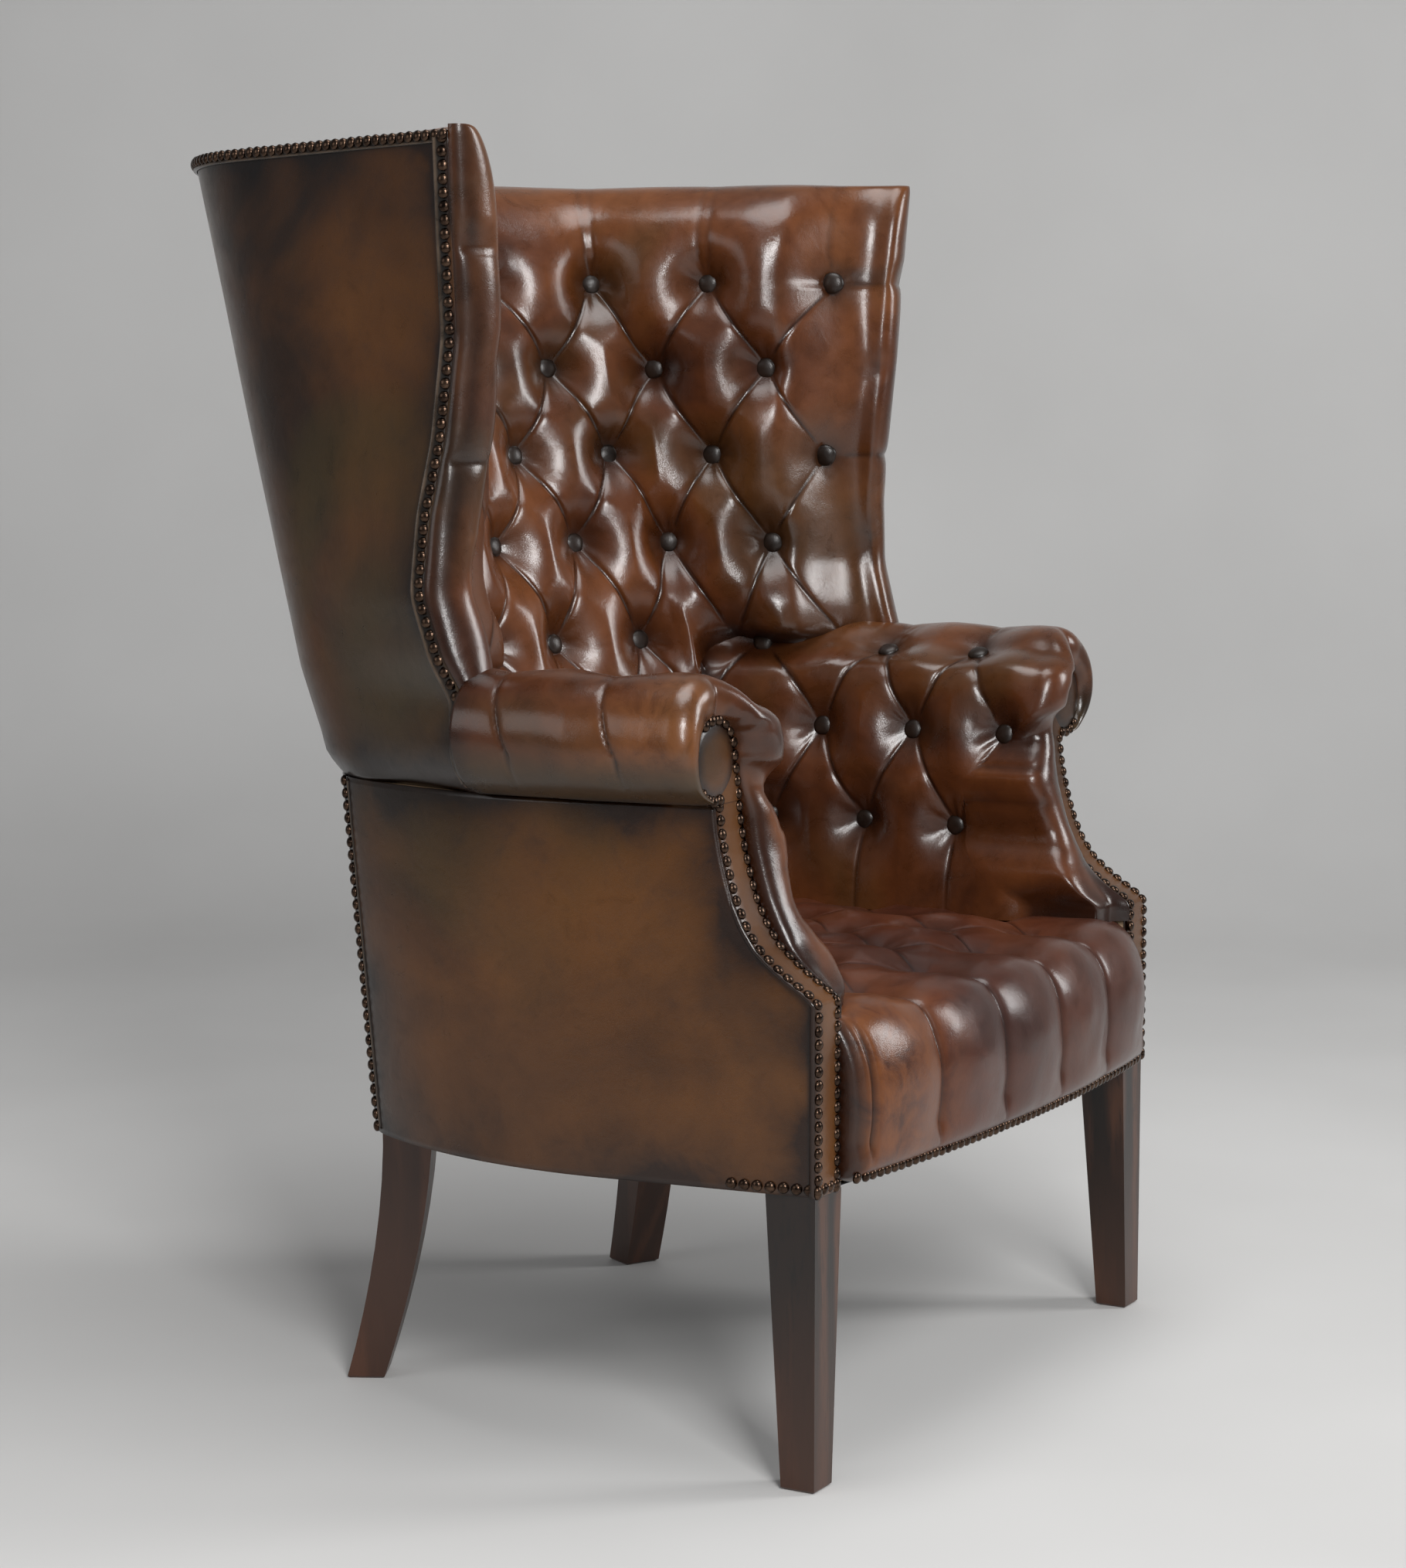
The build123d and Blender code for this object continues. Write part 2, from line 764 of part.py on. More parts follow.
def arm_ring(z, columns, rolled):
    """Level outline of the arm padding."""
    line = inner_seat_level(z)
    run, wall_run = seam_runs(z, seam_clearance)
    face = [line.place(run, arm_inset(z, columns[0]))[:2]]
    face += [arm_point(z, column, arm_inset(z, column)) for column in columns[1:]]
    last_y = face[-1][1]
    band = arm_band_depth * (1 - smooth(share_of(z, button_rows[-1], button_rows[-2])))
    body_x = arm_point(z, last_arm_column, band)[0]
    edge_x = facing_half_reach - facing_width - layer_clearance
    front_y, across, back = arm_front(z), edge_x - body_x, arm_band_reach
    if rolled:
        front_y = roll_rim_reach + roll_rim_depth * (1 - roll_share(z))
        across = back = roll_rim_radius
        body_x = min(body_x, roll_outer(front_y, z) - 2 * roll_rim_radius - roll_edge)
    front = [(mix(face[-1][0], body_x, 1 / 2), mix(last_y, front_y + back, 1 / 2))]
    for angle in (0, 30, 60, 90):
        turn = radians(angle)
        front.append((body_x + across * (1 - cos(turn)), front_y + back * (1 - sin(turn))))
    stations = [mix(arm_sweep_reach + post_depth, wing_setback, share) for share in (0.06, 0.35, 0.65)]
    wing = upper_shell(z)
    wing_run = wing.length + layer_clearance
    inner_x, inner_y = wing.place(wing_run, padding_base)[:2]
    wall = pad_wall(z)
    if rolled:
        outer = []
        for angle in (60, 30, 0):
            turn = radians(angle)
            outer_x = roll_outer(front_y, z) - roll_rim_radius * (1 - cos(turn))
            outer.append((outer_x, front_y + roll_rim_radius * (1 - sin(turn))))
        outer += [(roll_outer(y, z), y) for y in stations]
        outer.append(wing.place(wing_run, wing.place(wing_run)[0] - roll_outer(wing_setback, z))[:2])
    else:
        outer = [(edge_x, mix(front_y, stations[0] - leather, share)) for share in (0.2, 0.6, 1)]
        outer += [wall.place(wall.run_at(y, padding_base), padding_base)[:2] for y in stations]
        outer.append(wall.place(wall.run_at(inner_y - 2 * leather, padding_base), padding_base)[:2])
        inner_x = wall.place(wall.run_at(inner_y, padding_base), padding_base)[0]
    start = wall.run_at(inner_y + leather, padding_base)
    rear = [wall.place(mix(start, wall_run, index / 5), padding_base)[:2] for index in range(6)]
    return [point + (z,) for point in face + front + outer + [(inner_x, inner_y)] + rear]


def inside_arm():
    """Buttoned leather inside the arm, carried over the top as the roll."""
    step = facets_per_column
    rows = rows_between(pad_bottom, arm_seam_height + layer_clearance, step)
    heights = [(row_height(row), False) for row in rows]
    low = arm_seam_height + 2 * layer_clearance
    rise_shares = (0, 0.04, 0.12, 0.26, 0.44, 0.62, 0.74, 0.832, 0.91, 0.965, 0.99)
    heights += [(mix(low, arm_top_height, share), True) for share in rise_shares]
    columns = [-1] + [index / step for index in range(1 - step, last_arm_column * step)]
    rings = [arm_ring(z, columns, rolled) for z, rolled in heights]
    rows = [row_place(z) for z, rolled in heights]
    return stacked(rings, along_pleats(columns, rows)) - arm_front_space()


def wing_roll():
    """Padded front edge of a wing, standing on the arm."""
    rise_shares = (0.45, 0.7, 0.9, 0.93, 0.97, 1.0)
    bottom = arm_top_height + layer_clearance
    heights = [bottom] + [z for z in panel_heights() if bottom + leather < z < button_rows[0]]
    heights += [mix(button_rows[0], padding_top_height, share) for share in (0.0,) + rise_shares]
    rings = []
    for z in heights:
        outline = upper_shell(z)
        x, y, angle = outline.place(outline.length)
        thickness = wing_roll_thickness * (1 - top_fall(z))
        middle = thickness / 2
        forward = wing_roll_reach * (1 - top_fall(z))
        section = []
        for step in range(9):
            turn = pi * step / 8
            behind_edge = middle - (middle - layer_clearance) * cos(turn)
            section.append((behind_edge, forward * sin(turn) + layer_clearance))
        base = padding_base if z < shell_top_height else middle
        ahead, behind = (cos(angle), -sin(angle)), (-sin(angle), -cos(angle))
        ring = [(x + u * behind[0] + v * ahead[0], y + u * behind[1] + v * ahead[1], z) for u, v in section]
        wall_run, line_run = wing_end(z, 2 * layer_clearance)
        line = inner_back(z)
        ring.append(line.place(line_run, thickness - wing_inner_inset)[:2] + (z,))
        base = min(base, thickness - leather)
        ring.append(outline.place(wall_run, base)[:2] + (z,))
        ring.append(outline.place(outline.length + layer_clearance, base)[:2] + (z,))
        rings.append(ring)
    return stacked(rings)


# Seat

def bow(x):
    """How far the front line stands back from its middle."""
    return seat_bow * (x / seat_bow_half_width) ** 2


def seat_back(x):
    """Where the seat ends under the back padding."""
    outline = lower_shell(seat_bottom)
    low, high = 0.0, outline.marks[3]
    for step in range(40):
        middle = (low + high) / 2
        if outline.place(middle, padding_base)[0] < abs(x):
            low = middle
        else:
            high = middle
    return outline.place(low, padding_base)[1]


def pad_front(x):
    """Where the back padding begins over the seat."""
    line = inner_seat_level(seat_edge_height)
    low, high = 0.0, line.marks[2]
    for step in range(40):
        middle = (low + high) / 2
        if line.place(middle, back_puff)[0] < abs(x):
            low = middle
        else:
            high = middle
    return line.place(low, back_puff)[1]


def crown_at(x, y):
    """Rise of the seat, gone where the arm and back padding stand on it."""
    open_share = 0.75
    side = 1 - smooth(share_of(abs(x), seat_half_width / 2, seat_half_width * open_share))
    rear = 1 - smooth(share_of(y, pad_front(x) - 2 * seat_row_pitch, pad_front(x) - seat_row_pitch / 2))
    return seat_crown * side * rear


def seat_swell(x, row):
    """Share of the full swell of the seat at a place between its buttons."""
    pitches = (flute_pitch, seat_row_pitch)
    return puff(x / flute_pitch + 1, row, 2 * seat_rows, (0, seat_rows - 1), pitches)


def seat_section(x):
    """Upright outline of the seat leather and stuffing at one distance from the middle."""
    rounding_share = 0.3
    edge = abs(x) / seat_half_width
    full = 1 - rounding_share * share_of(edge, 0.97, 1) ** 2
    flute = flute_depth * (abs(sin(pi * (x / flute_pitch + 1) / 2)) - 1)
    ring = []
    for height_share, bulge_share in seat_front_shares:
        z = mix(rail_bottom, seat_edge_height, height_share)
        reach = seat_bulge * bulge_share + flute * smooth(share_of(height_share, 0, 0.3))
        ring.append((x, bow(x) - seat_bow - reach * full, z))
    rear = seat_back(x)
    stations = [mix(bow(x), seat_first_row, 0.5)]
    stations += [seat_first_row + seat_row_pitch * index / 2 for index in range(2 * seat_rows)]
    kept = [y for y in stations if y < rear - 2 * leather]
    spare = len(stations) - len(kept)
    kept += [mix(kept[-1], rear, (index + 1) / (spare + 1)) for index in range(spare)]
    for y in kept:
        swell = seat_tuft * (seat_swell(x, (y - seat_first_row) / seat_row_pitch) - 1)
        fade = 1 - smooth(share_of(edge, 0.9, 1))
        ring.append((x, y, seat_edge_height + (swell + crown_at(x, y)) * fade))
    face_y = bow(x) - seat_bow + leather
    ring += [(x, rear, seat_edge_height - leather), (x, rear, seat_bottom)]
    return ring + [(x, face_y, seat_bottom), (x, face_y, rail_bottom)]


def seat_cover():
    """Seat leather with its stuffing: shallow buttons on top, fluted over the front rail."""
    steps = 6 * facets_per_column
    grid = [flute_pitch * index / facets_per_column for index in range(-steps, steps + 1)]
    places = [place for place in grid if abs(place) < seat_half_width]
    places = [-seat_half_width] + places + [seat_half_width]
    return stacked([seat_section(x) for x in places])


def seat_plate(inset, bottom, thickness):
    """Level plate inside the outline of the seat frame."""
    outline = lower_shell(leg_height)
    start = frame_face + post_depth + leather
    end = outline.run_at(start, inset)
    inner = [run for run in bend_runs(outline, canvas_facets) if leather - end < run < end - leather]
    plan = [outline.place(-run, inset)[:2] for run in [-end] + inner + [end]]
    plan.append((-seat_half_width, start))
    for share in (-1, -0.75, -0.5, -0.25, 0, 0.25, 0.5, 0.75, 1):
        x = seat_half_width * share
        plan.append((x, bow(x) - seat_bow + inset))
    plan.append((seat_half_width, start))
    face = Face(Wire.make_polygon([(x, y, bottom) for x, y in plan], close=True))
    return extrude(face, thickness, dir=(0, 0, 1))


# Frame

def rail_sides():
    """Inner face of the side rails where they meet the front rail."""
    sides = [shell(z).place(shell(z).length, frame_inner)[0] for z in (rail_bottom, rail_top)]
    return min(sides) - layer_clearance


def front_rail():
    rings = []
    for share in (-1, -0.75, -0.5, -0.25, 0, 0.25, 0.5, 0.75, 1):
        x = rail_sides() * share
        front = bow(x) - seat_bow + frame_face + layer_clearance
        back = front + front_rail_thickness
        corners = ((front, rail_bottom), (back, rail_bottom), (back, rail_top), (front, rail_top))
        rings.append([(x, y, z) for y, z in corners])
    return stacked(rings)


def side_rail():
    def limits(outline):
        return rear_corner(outline), outline.length - frame_face - layer_clearance
    return shell_band((rail_bottom, rail_top), frame_face, frame_inner, limits) - dowels(dowel_clearance)


def back_rail():
    def limits(outline):
        return -rear_corner(outline), rear_corner(outline)
    rail = shell_band((rail_bottom, rail_top), frame_face, frame_inner, limits)
    holes = dowels(dowel_clearance)
    return rail - holes - mirrored(holes)


def arm_rail():
    """Rail from the arm post to the back post, carrying the outside leather."""
    def limits(outline):
        front = outline.run_at(arm_sweep_reach + post_depth + layer_clearance, frame_face)
        return rear_corner(outline) + back_post_width / 2 + layer_clearance, front
    return shell_band((arm_seam_height - arm_rail_height, arm_seam_height), frame_face, frame_inner, limits)


def arm_level_rail():
    """Rail across the back at the height of the arms."""
    def limits(outline):
        end = rear_corner(outline) - back_post_width / 2 - layer_clearance
        return -end, end
    return shell_band((arm_seam_height - level_rail_height, arm_seam_height), frame_face, frame_inner, limits)


def top_rail_bottom():
    return shell_top_height - leather - top_rail_height


def top_rail():
    """Rail round the top of the back, from wing to wing."""
    def limits(outline):
        return -outline.length + leather, outline.length - leather
    heights = (top_rail_bottom(), shell_top_height - leather)
    return shell_band(heights, frame_face, frame_face + post_thickness, limits, upper_facets)


def upright_heights(bottom):
    levels = [z for z in [arm_seam_height] + panel_heights() if z > bottom + leather]
    levels = [z for z in levels if not arm_seam_height < z < shell_hem_height - layer_clearance]
    return [bottom] + [z for z in levels if z < top_rail_bottom() - leather] + [top_rail_bottom()]


def back_post():
    """Upright at the rear corner, from the seat rail to the top rail."""
    outside = frame_face + 2 * layer_clearance
    inside = frame_face + post_thickness
    return shell_post(upright_heights(rail_top), outside, inside, rear_corner, back_post_width)


def wing_post():
    """Upright along the front edge of the wing, standing on the arm rail."""
    def middle(outline):
        if outline.depth <= seam_depth:
            return outline.run_at(wing_setback + wing_post_width, frame_face)
        return outline.length - leather - wing_post_width / 2
    outside = frame_face + leather
    inside = frame_face + post_thickness
    return shell_post(upright_heights(arm_seam_height), outside, inside, middle, wing_post_width)


def back_slats():
    """Three uprights that stiffen the curve of the back."""
    slats = []
    for number in (-1, 0, 1):
        def middle(outline):
            return slat_spacing * number
        inside = frame_face + slat_thickness
        slats.append(shell_post(upright_heights(arm_seam_height), frame_face, inside, middle, slat_width))
    return Compound(slats)


def corner_blocks():
    """Triangular blocks glued inside the four corners of the seat frame."""
    front_x = rail_sides()
    front_y = bow(front_x) - seat_bow + frame_face + front_rail_thickness + layer_clearance
    front = [(front_x, front_y), (front_x - block_size, front_y), (front_x, front_y + block_size)]
    outline = lower_shell(rail_bottom)
    corner = rear_corner(outline)
    rear = [outline.place(corner + shift, frame_inner)[:2] for shift in (-block_size, 0, block_size)]
    blocks = []
    for plan in (front, rear):
        for side in (-1, 1):
            points = [(side * x, y, rail_bottom + leather) for x, y in plan]
            face = Face(Wire.make_polygon(points, close=True))
            blocks.append(extrude(face, rail_height - 2 * leather, dir=(0, 0, 1)))
    return blocks


def back_canvas():
    """Canvas stretched inside the back and wings, behind the stuffing."""
    def limits(outline):
        end = outline.length - wing_roll_reach
        return -end, end
    heights = [z for z in panel_heights() if shell_hem_height <= z < shell_top_height]
    return shell_band(heights, canvas_inset, canvas_inset + canvas_thickness, limits, back_canvas_facets)


def arm_canvas():
    """Canvas stretched inside the arms and the lower back."""
    def limits(outline):
        end = outline.run_at(arm_sweep_reach + post_depth + leather, canvas_inset)
        return -end, end
    heights = (seat_bottom, arm_seam_height)
    return shell_band(heights, canvas_inset, canvas_inset + canvas_thickness, limits, canvas_facets)


# Seat suspension

def strap(low_x, high_x, low_y, high_y, top):
    """One flat strap with its top at a height."""
    corners = [(low_x, low_y, top), (high_x, low_y, top), (high_x, high_y, top), (low_x, high_y, top)]
    return extrude(Face(Wire.make_polygon(corners, close=True)), web_thickness, dir=(0, 0, -1))


def seat_webbing():
    """Two crossing layers of straps tacked under the seat rails."""
    outline = lower_shell(leg_height)
    under = frame_face + frame_thickness / 2
    straps = []
    for number in (-1.5, -0.5, 0.5, 1.5):
        x = spring_pitch * number
        run = abs(x) + web_width / 2
        front = bow(x) - seat_bow + under
        rear = outline.place(run, under)[1]
        straps.append(strap(x - web_width / 2, x + web_width / 2, front, rear, rail_bottom))
    for number in (-1, 0, 1):
        y = spring_centre + spring_pitch * number
        reach = outline.place(outline.run_at(y + web_width / 2, under), under)[0]
        reach = min(reach, outline.place(outline.run_at(y - web_width / 2, under), under)[0])
        level = rail_bottom - web_thickness
        straps.append(strap(-reach, reach, y - web_width / 2, y + web_width / 2, level))
    return Compound(straps)


def spring(x, y):
    """One hourglass spring as a faceted wire."""
    bottom = rail_bottom + spring_wire / 2
    top = rail_top - spring_wire / 2
    count = spring_turns * spring_points_per_turn
    rings = []
    for step in range(count + 1):
        share = step / count
        turn = 2 * pi * spring_turns * share
        radius = mix(spring_waist, spring_radius, abs(2 * share - 1))
        z = mix(bottom, top, share)
        ring = []
        for corner in range(3):
            tilt = 2 * pi * corner / 3
            reach = radius + spring_wire / 2 * cos(tilt)
            ring.append((x + reach * cos(turn), y + reach * sin(turn), z + spring_wire / 2 * sin(tilt)))
        rings.append(ring)
    return stacked(rings)


def seat_springs():
    places = [(spring_pitch * i, spring_centre + spring_pitch * j) for i in (-1, 0, 1) for j in (-1, 0, 1)]
    return Compound([spring(x, y) for x, y in places])


def spring_canvas():
    """Canvas over the springs, tacked along the inner edge of the rails."""
    return seat_plate(frame_face + post_thickness + layer_clearance, rail_top, canvas_thickness)


def dust_cover():
    """Thin cloth under the webbing, pierced by the dowels of the legs."""
    holes = dowels(dowel_clearance)
    cloth = seat_plate(frame_face, rail_bottom - 2 * web_thickness - cover_thickness, cover_thickness)
    return cloth - holes - mirrored(holes)


# Legs

def rear_directions():
    turn = radians(rear_leg_turn)
    return (sin(turn), cos(turn)), (-cos(turn), sin(turn))


def leg_centres():
    front_x = front_leg_offset - front_leg_top / 2
    front_y = front_leg_setback + front_leg_top / 2
    rear, inner = rear_directions()
    rear_x = rear_leg_offset + rear[0] * rear_leg_top_depth / 2 + inner[0] * rear_leg_top_width / 2
    rear_y = rear_leg_setback + rear[1] * rear_leg_top_depth / 2 + inner[1] * rear_leg_top_width / 2
    return (front_x, front_y), (rear_x, rear_y)


def dowel(x, y, clearance=0):
    base = Plane(origin=(x, y, leg_height - leather))
    return Solid.make_cylinder(dowel_radius + clearance, dowel_length + leather + clearance, base)


def dowels(clearance):
    front, rear = leg_centres()
    return dowel(*front, clearance) + dowel(*rear, clearance)


def front_leg():
    """Straight tapered leg, square in section, vertical on its two outer faces."""
    rings = []
    for z, cut in ((0, foot_chamfer), (foot_chamfer, 0), (leg_height, 0)):
        size = mix(front_leg_foot, front_leg_top, z / leg_height)
        left, right = front_leg_offset - size + cut, front_leg_offset - cut
        front, back = front_leg_setback + cut, front_leg_setback + size - cut
        rings.append([(left, front, z), (right, front, z), (right, back, z), (left, back, z)])
    return stacked(rings) + dowel(*leg_centres()[0])


def rear_leg():
    """Tapered leg that sweeps out backwards from the rear corner."""
    sweep_power = 1.75
    rear, inner = rear_directions()
    rings = []
    levels = [(0, foot_chamfer)] + [(leg_height * index / 8, 0) for index in range(9)]
    levels[1] = (foot_chamfer, 0)
    for z, cut in levels:
        down = 1 - z / leg_height
        sweep = rear_leg_sweep * down ** sweep_power
        width = mix(rear_leg_top_width, rear_leg_foot_width, down)
        depth = mix(rear_leg_top_depth, rear_leg_foot_depth, down)
        ring = []
        for u, v in ((cut, cut), (depth - cut, cut), (depth - cut, width - cut), (cut, width - cut)):
            reach = sweep + u
            x = rear_leg_offset + rear[0] * reach + inner[0] * v
            y = rear_leg_setback + rear[1] * reach + inner[1] * v
            ring.append((x, y, z))
        rings.append(ring)
    return stacked(rings) + dowel(*leg_centres()[1])


# Buttons

def button(point, outward):
    """Low covered button standing on its dimple."""
    profile_shares = ((0.5, 0), (1, 0.45), (0.55, 1))
    place = Plane(origin=point, z_dir=outward)
    rings = []
    for radius, height in profile_shares:
        ring = []
        for side in range(button_sides):
            turn = 2 * pi * side / button_sides
            reach = button_radius * radius
            local = (reach * cos(turn), reach * sin(turn), button_lift + button_height * height)
            ring.append(tuple(place.from_local_coords(Vector(*local))))
        rings.append(ring)
    return stacked(rings)


def standing_button(point_at, z, column):
    """Button square to the padding; point_at gives the plan point at a height and column."""
    step_share = 0.1
    x, y = point_at(z, column)
    ahead_x, ahead_y = point_at(z, column + step_share)
    over_x, over_y = point_at(z + button_radius, column)
    forward = Vector(ahead_x - x, ahead_y - y, 0)
    upward = Vector(over_x - x, over_y - y, button_radius)
    return button((x, y, z), tuple(forward.cross(upward).normalized()))


def back_line_point(z, column):
    line = inner_back(z) if z > arm_top_height else inner_seat_level(z)
    return line.place(back_pitch(z) * column)[:2]


def arm_line_point(z, column):
    return arm_point(z, column, 0)


def back_buttons():
    """Buttons of the back and wings, in staggered rows."""
    group = []
    for row, z in enumerate(button_rows):
        last = last_back_column if z > arm_top_height else seam_column - 1
        for column in range(-last, last + 1):
            if (row + column) % 2 == 0:
                group.append(standing_button(back_line_point, z, column))
    return Compound(group)


def arm_buttons():
    """Buttons inside one arm, in staggered rows."""
    group = []
    for row in range(first_arm_row, len(button_rows)):
        for column in range(last_arm_column + 1):
            if (row + column) % 2 == 0:
                group.append(standing_button(arm_line_point, button_rows[row], column))
    return Compound(group)


def seat_buttons():
    """Buttons of the seat, in staggered rows."""
    group = []
    for row in range(seat_rows):
        y = seat_first_row + seat_row_pitch * row
        for column in range(-4, 5):
            x = flute_pitch * column
            if (row + column) % 2 == 1 and y < pad_front(x) - 2 * button_radius:
                z = seat_edge_height + crown_at(x, y) - seat_tuft - layer_clearance
                group.append(button((x, y, z), (0, 0, 1)))
    return Compound(group)


# The chair

centred = {
    "outer_back_panel": outer_back_panel,
    "lower_back_panel": lower_back_panel,
    "inside_back": inside_back,
    "lower_back_pad": lower_back_pad,
    "seat_cover": seat_cover,
    "front_rail": front_rail,
    "back_rail": back_rail,
    "arm_level_rail": arm_level_rail,
    "top_rail": top_rail,
    "back_slats": back_slats,
    "back_canvas": back_canvas,
    "arm_canvas": arm_canvas,
    "seat_webbing": seat_webbing,
    "seat_springs": seat_springs,
    "spring_canvas": spring_canvas,
    "dust_cover": dust_cover,
    "back_buttons": back_buttons,
    "seat_buttons": seat_buttons,
}
paired = {
    "side_panel": side_panel,
    "facing": facing,
    "inside_arm": inside_arm,
    "wing_roll": wing_roll,
    "arm_post": arm_post,
    "side_rail": side_rail,
    "arm_rail": arm_rail,
    "back_post": back_post,
    "wing_post": wing_post,
    "front_leg": front_leg,
    "rear_leg": rear_leg,
    "arm_buttons": arm_buttons,
}
to_origin = Location((0, -reach_shift, 0))
for name, make in centred.items():
    export_step(to_origin * make(), f"parts/{name}.step")
for name, make in paired.items():
    piece = make()
    export_step(to_origin * piece, f"parts/{name}_left.step")
    export_step(to_origin * mirrored(piece), f"parts/{name}_right.step")
for number, block in enumerate(corner_blocks()):
    export_step(to_origin * block, f"parts/corner_block_{number + 1}.step")
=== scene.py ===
import math
import bpy
import numpy as np
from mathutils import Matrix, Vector


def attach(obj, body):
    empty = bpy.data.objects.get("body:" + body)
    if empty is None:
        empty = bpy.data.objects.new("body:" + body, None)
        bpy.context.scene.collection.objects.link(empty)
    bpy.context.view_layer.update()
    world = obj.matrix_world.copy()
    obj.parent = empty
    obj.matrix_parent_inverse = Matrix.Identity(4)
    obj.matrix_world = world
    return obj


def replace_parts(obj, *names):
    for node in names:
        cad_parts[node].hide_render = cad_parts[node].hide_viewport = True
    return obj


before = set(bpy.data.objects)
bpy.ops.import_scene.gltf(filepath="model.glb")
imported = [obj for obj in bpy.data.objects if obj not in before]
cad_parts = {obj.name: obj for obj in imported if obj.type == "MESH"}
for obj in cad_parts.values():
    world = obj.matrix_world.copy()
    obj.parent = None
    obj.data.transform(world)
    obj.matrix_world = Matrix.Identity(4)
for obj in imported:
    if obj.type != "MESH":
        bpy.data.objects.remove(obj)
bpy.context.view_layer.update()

BODY = "root"
MM = 0.001
SIDE = {1: "left", -1: "right"}
# The outlines are written in millimetres from the front plane of the arms, as in the part's source.
SHIFT = 361.0


# Small helpers
def mix(a, b, t):
    return a + (b - a) * t


def ramp(x, low, high):
    return np.clip((np.asarray(x, float) - low) / (high - low), 0.0, 1.0)


def smooth(t):
    return t * t * (3 - 2 * t)


def ease(x, low, high):
    return smooth(ramp(x, low, high))


def hashed(i, j, seed=0.0):
    s = np.sin(i * 12.9898 + j * 78.233 + seed * 37.719) * 43758.5453
    return s - np.floor(s)


def noise(x, y, seed=0.0):
    """Soft value noise from -1 to 1."""
    i, j = np.floor(x), np.floor(y)
    fx, fy = smooth(x - i), smooth(y - j)
    a, b = hashed(i, j, seed), hashed(i + 1, j, seed)
    c, d = hashed(i, j + 1, seed), hashed(i + 1, j + 1, seed)
    return 2 * mix(mix(a, b, fx), mix(c, d, fx), fy) - 1


def looked_up(rows, value, column=1):
    rows = np.asarray(rows, float)
    return np.interp(value, rows[:, 0], rows[:, column])


def unit(v):
    v = np.asarray(v, float)
    return v / np.linalg.norm(v)


def chaikin(points, rounds):
    """A line with its corners cut off, again and again."""
    p = np.asarray(points, float)
    for _ in range(rounds):
        q = np.empty((2 * len(p), p.shape[1]))
        q[0], q[-1] = p[0], p[-1]
        q[1:-1:2] = 0.75 * p[:-1] + 0.25 * p[1:]
        q[2:-1:2] = 0.25 * p[:-1] + 0.75 * p[1:]
        p = q
    return p


def arc_length(points):
    return np.concatenate([[0], np.cumsum(np.linalg.norm(np.diff(points, axis=0), axis=1))])


def at_lengths(t, s, points):
    return np.stack([np.interp(t, s, points[:, k]) for k in range(points.shape[1])], axis=1)


def resample(points, count):
    s = arc_length(points)
    return at_lengths(np.linspace(0, s[-1], count), s, points)


def halved(low, high, still_below, rounds):
    """Closes in on the place where still_below stops being true."""
    for _ in range(rounds):
        middle = (low + high) / 2
        if still_below(middle):
            low = middle
        else:
            high = middle
    return low, high


def at_height(x, y, z):
    return np.stack([x, y, np.full_like(x, z)], axis=1)


# Outlines of the chair
class Line:
    """Half a barrel seen from above: arcs from the back centre, then a straight run."""

    def __init__(self, depth, arcs, straight):
        self.depth, self.arcs = depth, arcs
        self.marks = [0.0]
        angle = 0.0
        for radius, end in arcs:
            self.marks.append(self.marks[-1] + radius * (end - angle))
            angle = end
        self.length = self.marks[-1] + straight

    def place(self, run, inset=0.0):
        run = np.asarray(run, float)
        side = np.where(run < 0, -1.0, 1.0)
        left = np.abs(run)
        x, y, a = np.zeros_like(left), np.full_like(left, self.depth), np.zeros_like(left)
        start = 0.0
        for radius, end in self.arcs:
            turn = np.clip(left / radius, 0, end - start)
            x = x + radius * (np.sin(a + turn) - np.sin(a))
            y = y - radius * (np.cos(a) - np.cos(a + turn))
            left = left - radius * turn
            a = a + turn
            start = end
        x = x + left * np.cos(a)
        y = y - left * np.sin(a)
        return side * (x - inset * np.sin(a)), y - inset * np.cos(a), a

    def run_at(self, y, inset=0.0):
        return sum(halved(0.0, self.length, lambda run: self.place(run, inset)[1] > y, 40)) / 2


def tangent_line(depth, radius, turn, corner, front_x, front_y):
    dx = front_x - (radius * math.sin(turn) - corner * math.sin(turn))
    dy = front_y - (depth - radius * (1 - math.cos(turn)) - corner * math.cos(turn))
    straight = math.sqrt(dx * dx + dy * dy - corner * corner)
    end = math.atan2(dx * corner - dy * straight, dy * corner + dx * straight)
    return Line(depth, ((radius, turn), (corner, end)), straight)


SWEEP = ((0, 0), (.04, .08), (.10, .25), (.17, .42), (.255, .587), (.363, .717), (.484, .815), (.605, .88),
         (.732, .935), (.866, .978), (1, 1))
WING = ((0, .967, .992), (.092, .970, .990), (.114, .977, 1.008), (.155, .990, 1.040), (.260, .998, 1.093),
        (.385, .983, 1.082), (.510, .965, 1.046), (.677, .961, 1.013), (.833, .981, 1.008), (1, 1.003, .998))
SWELL = ((0, 0), (.25, .44), (.60, .84), (1, 1))
SHOULDER = ((0, 0), (.37, 0), (.62, .05), (.78, .17), (.87, .33), (.943, .52), (.986, .75), (1, .90))
ROWS = (1010.0, 925.0, 838.0, 750.0, 652.0, 568.0, 476.0)


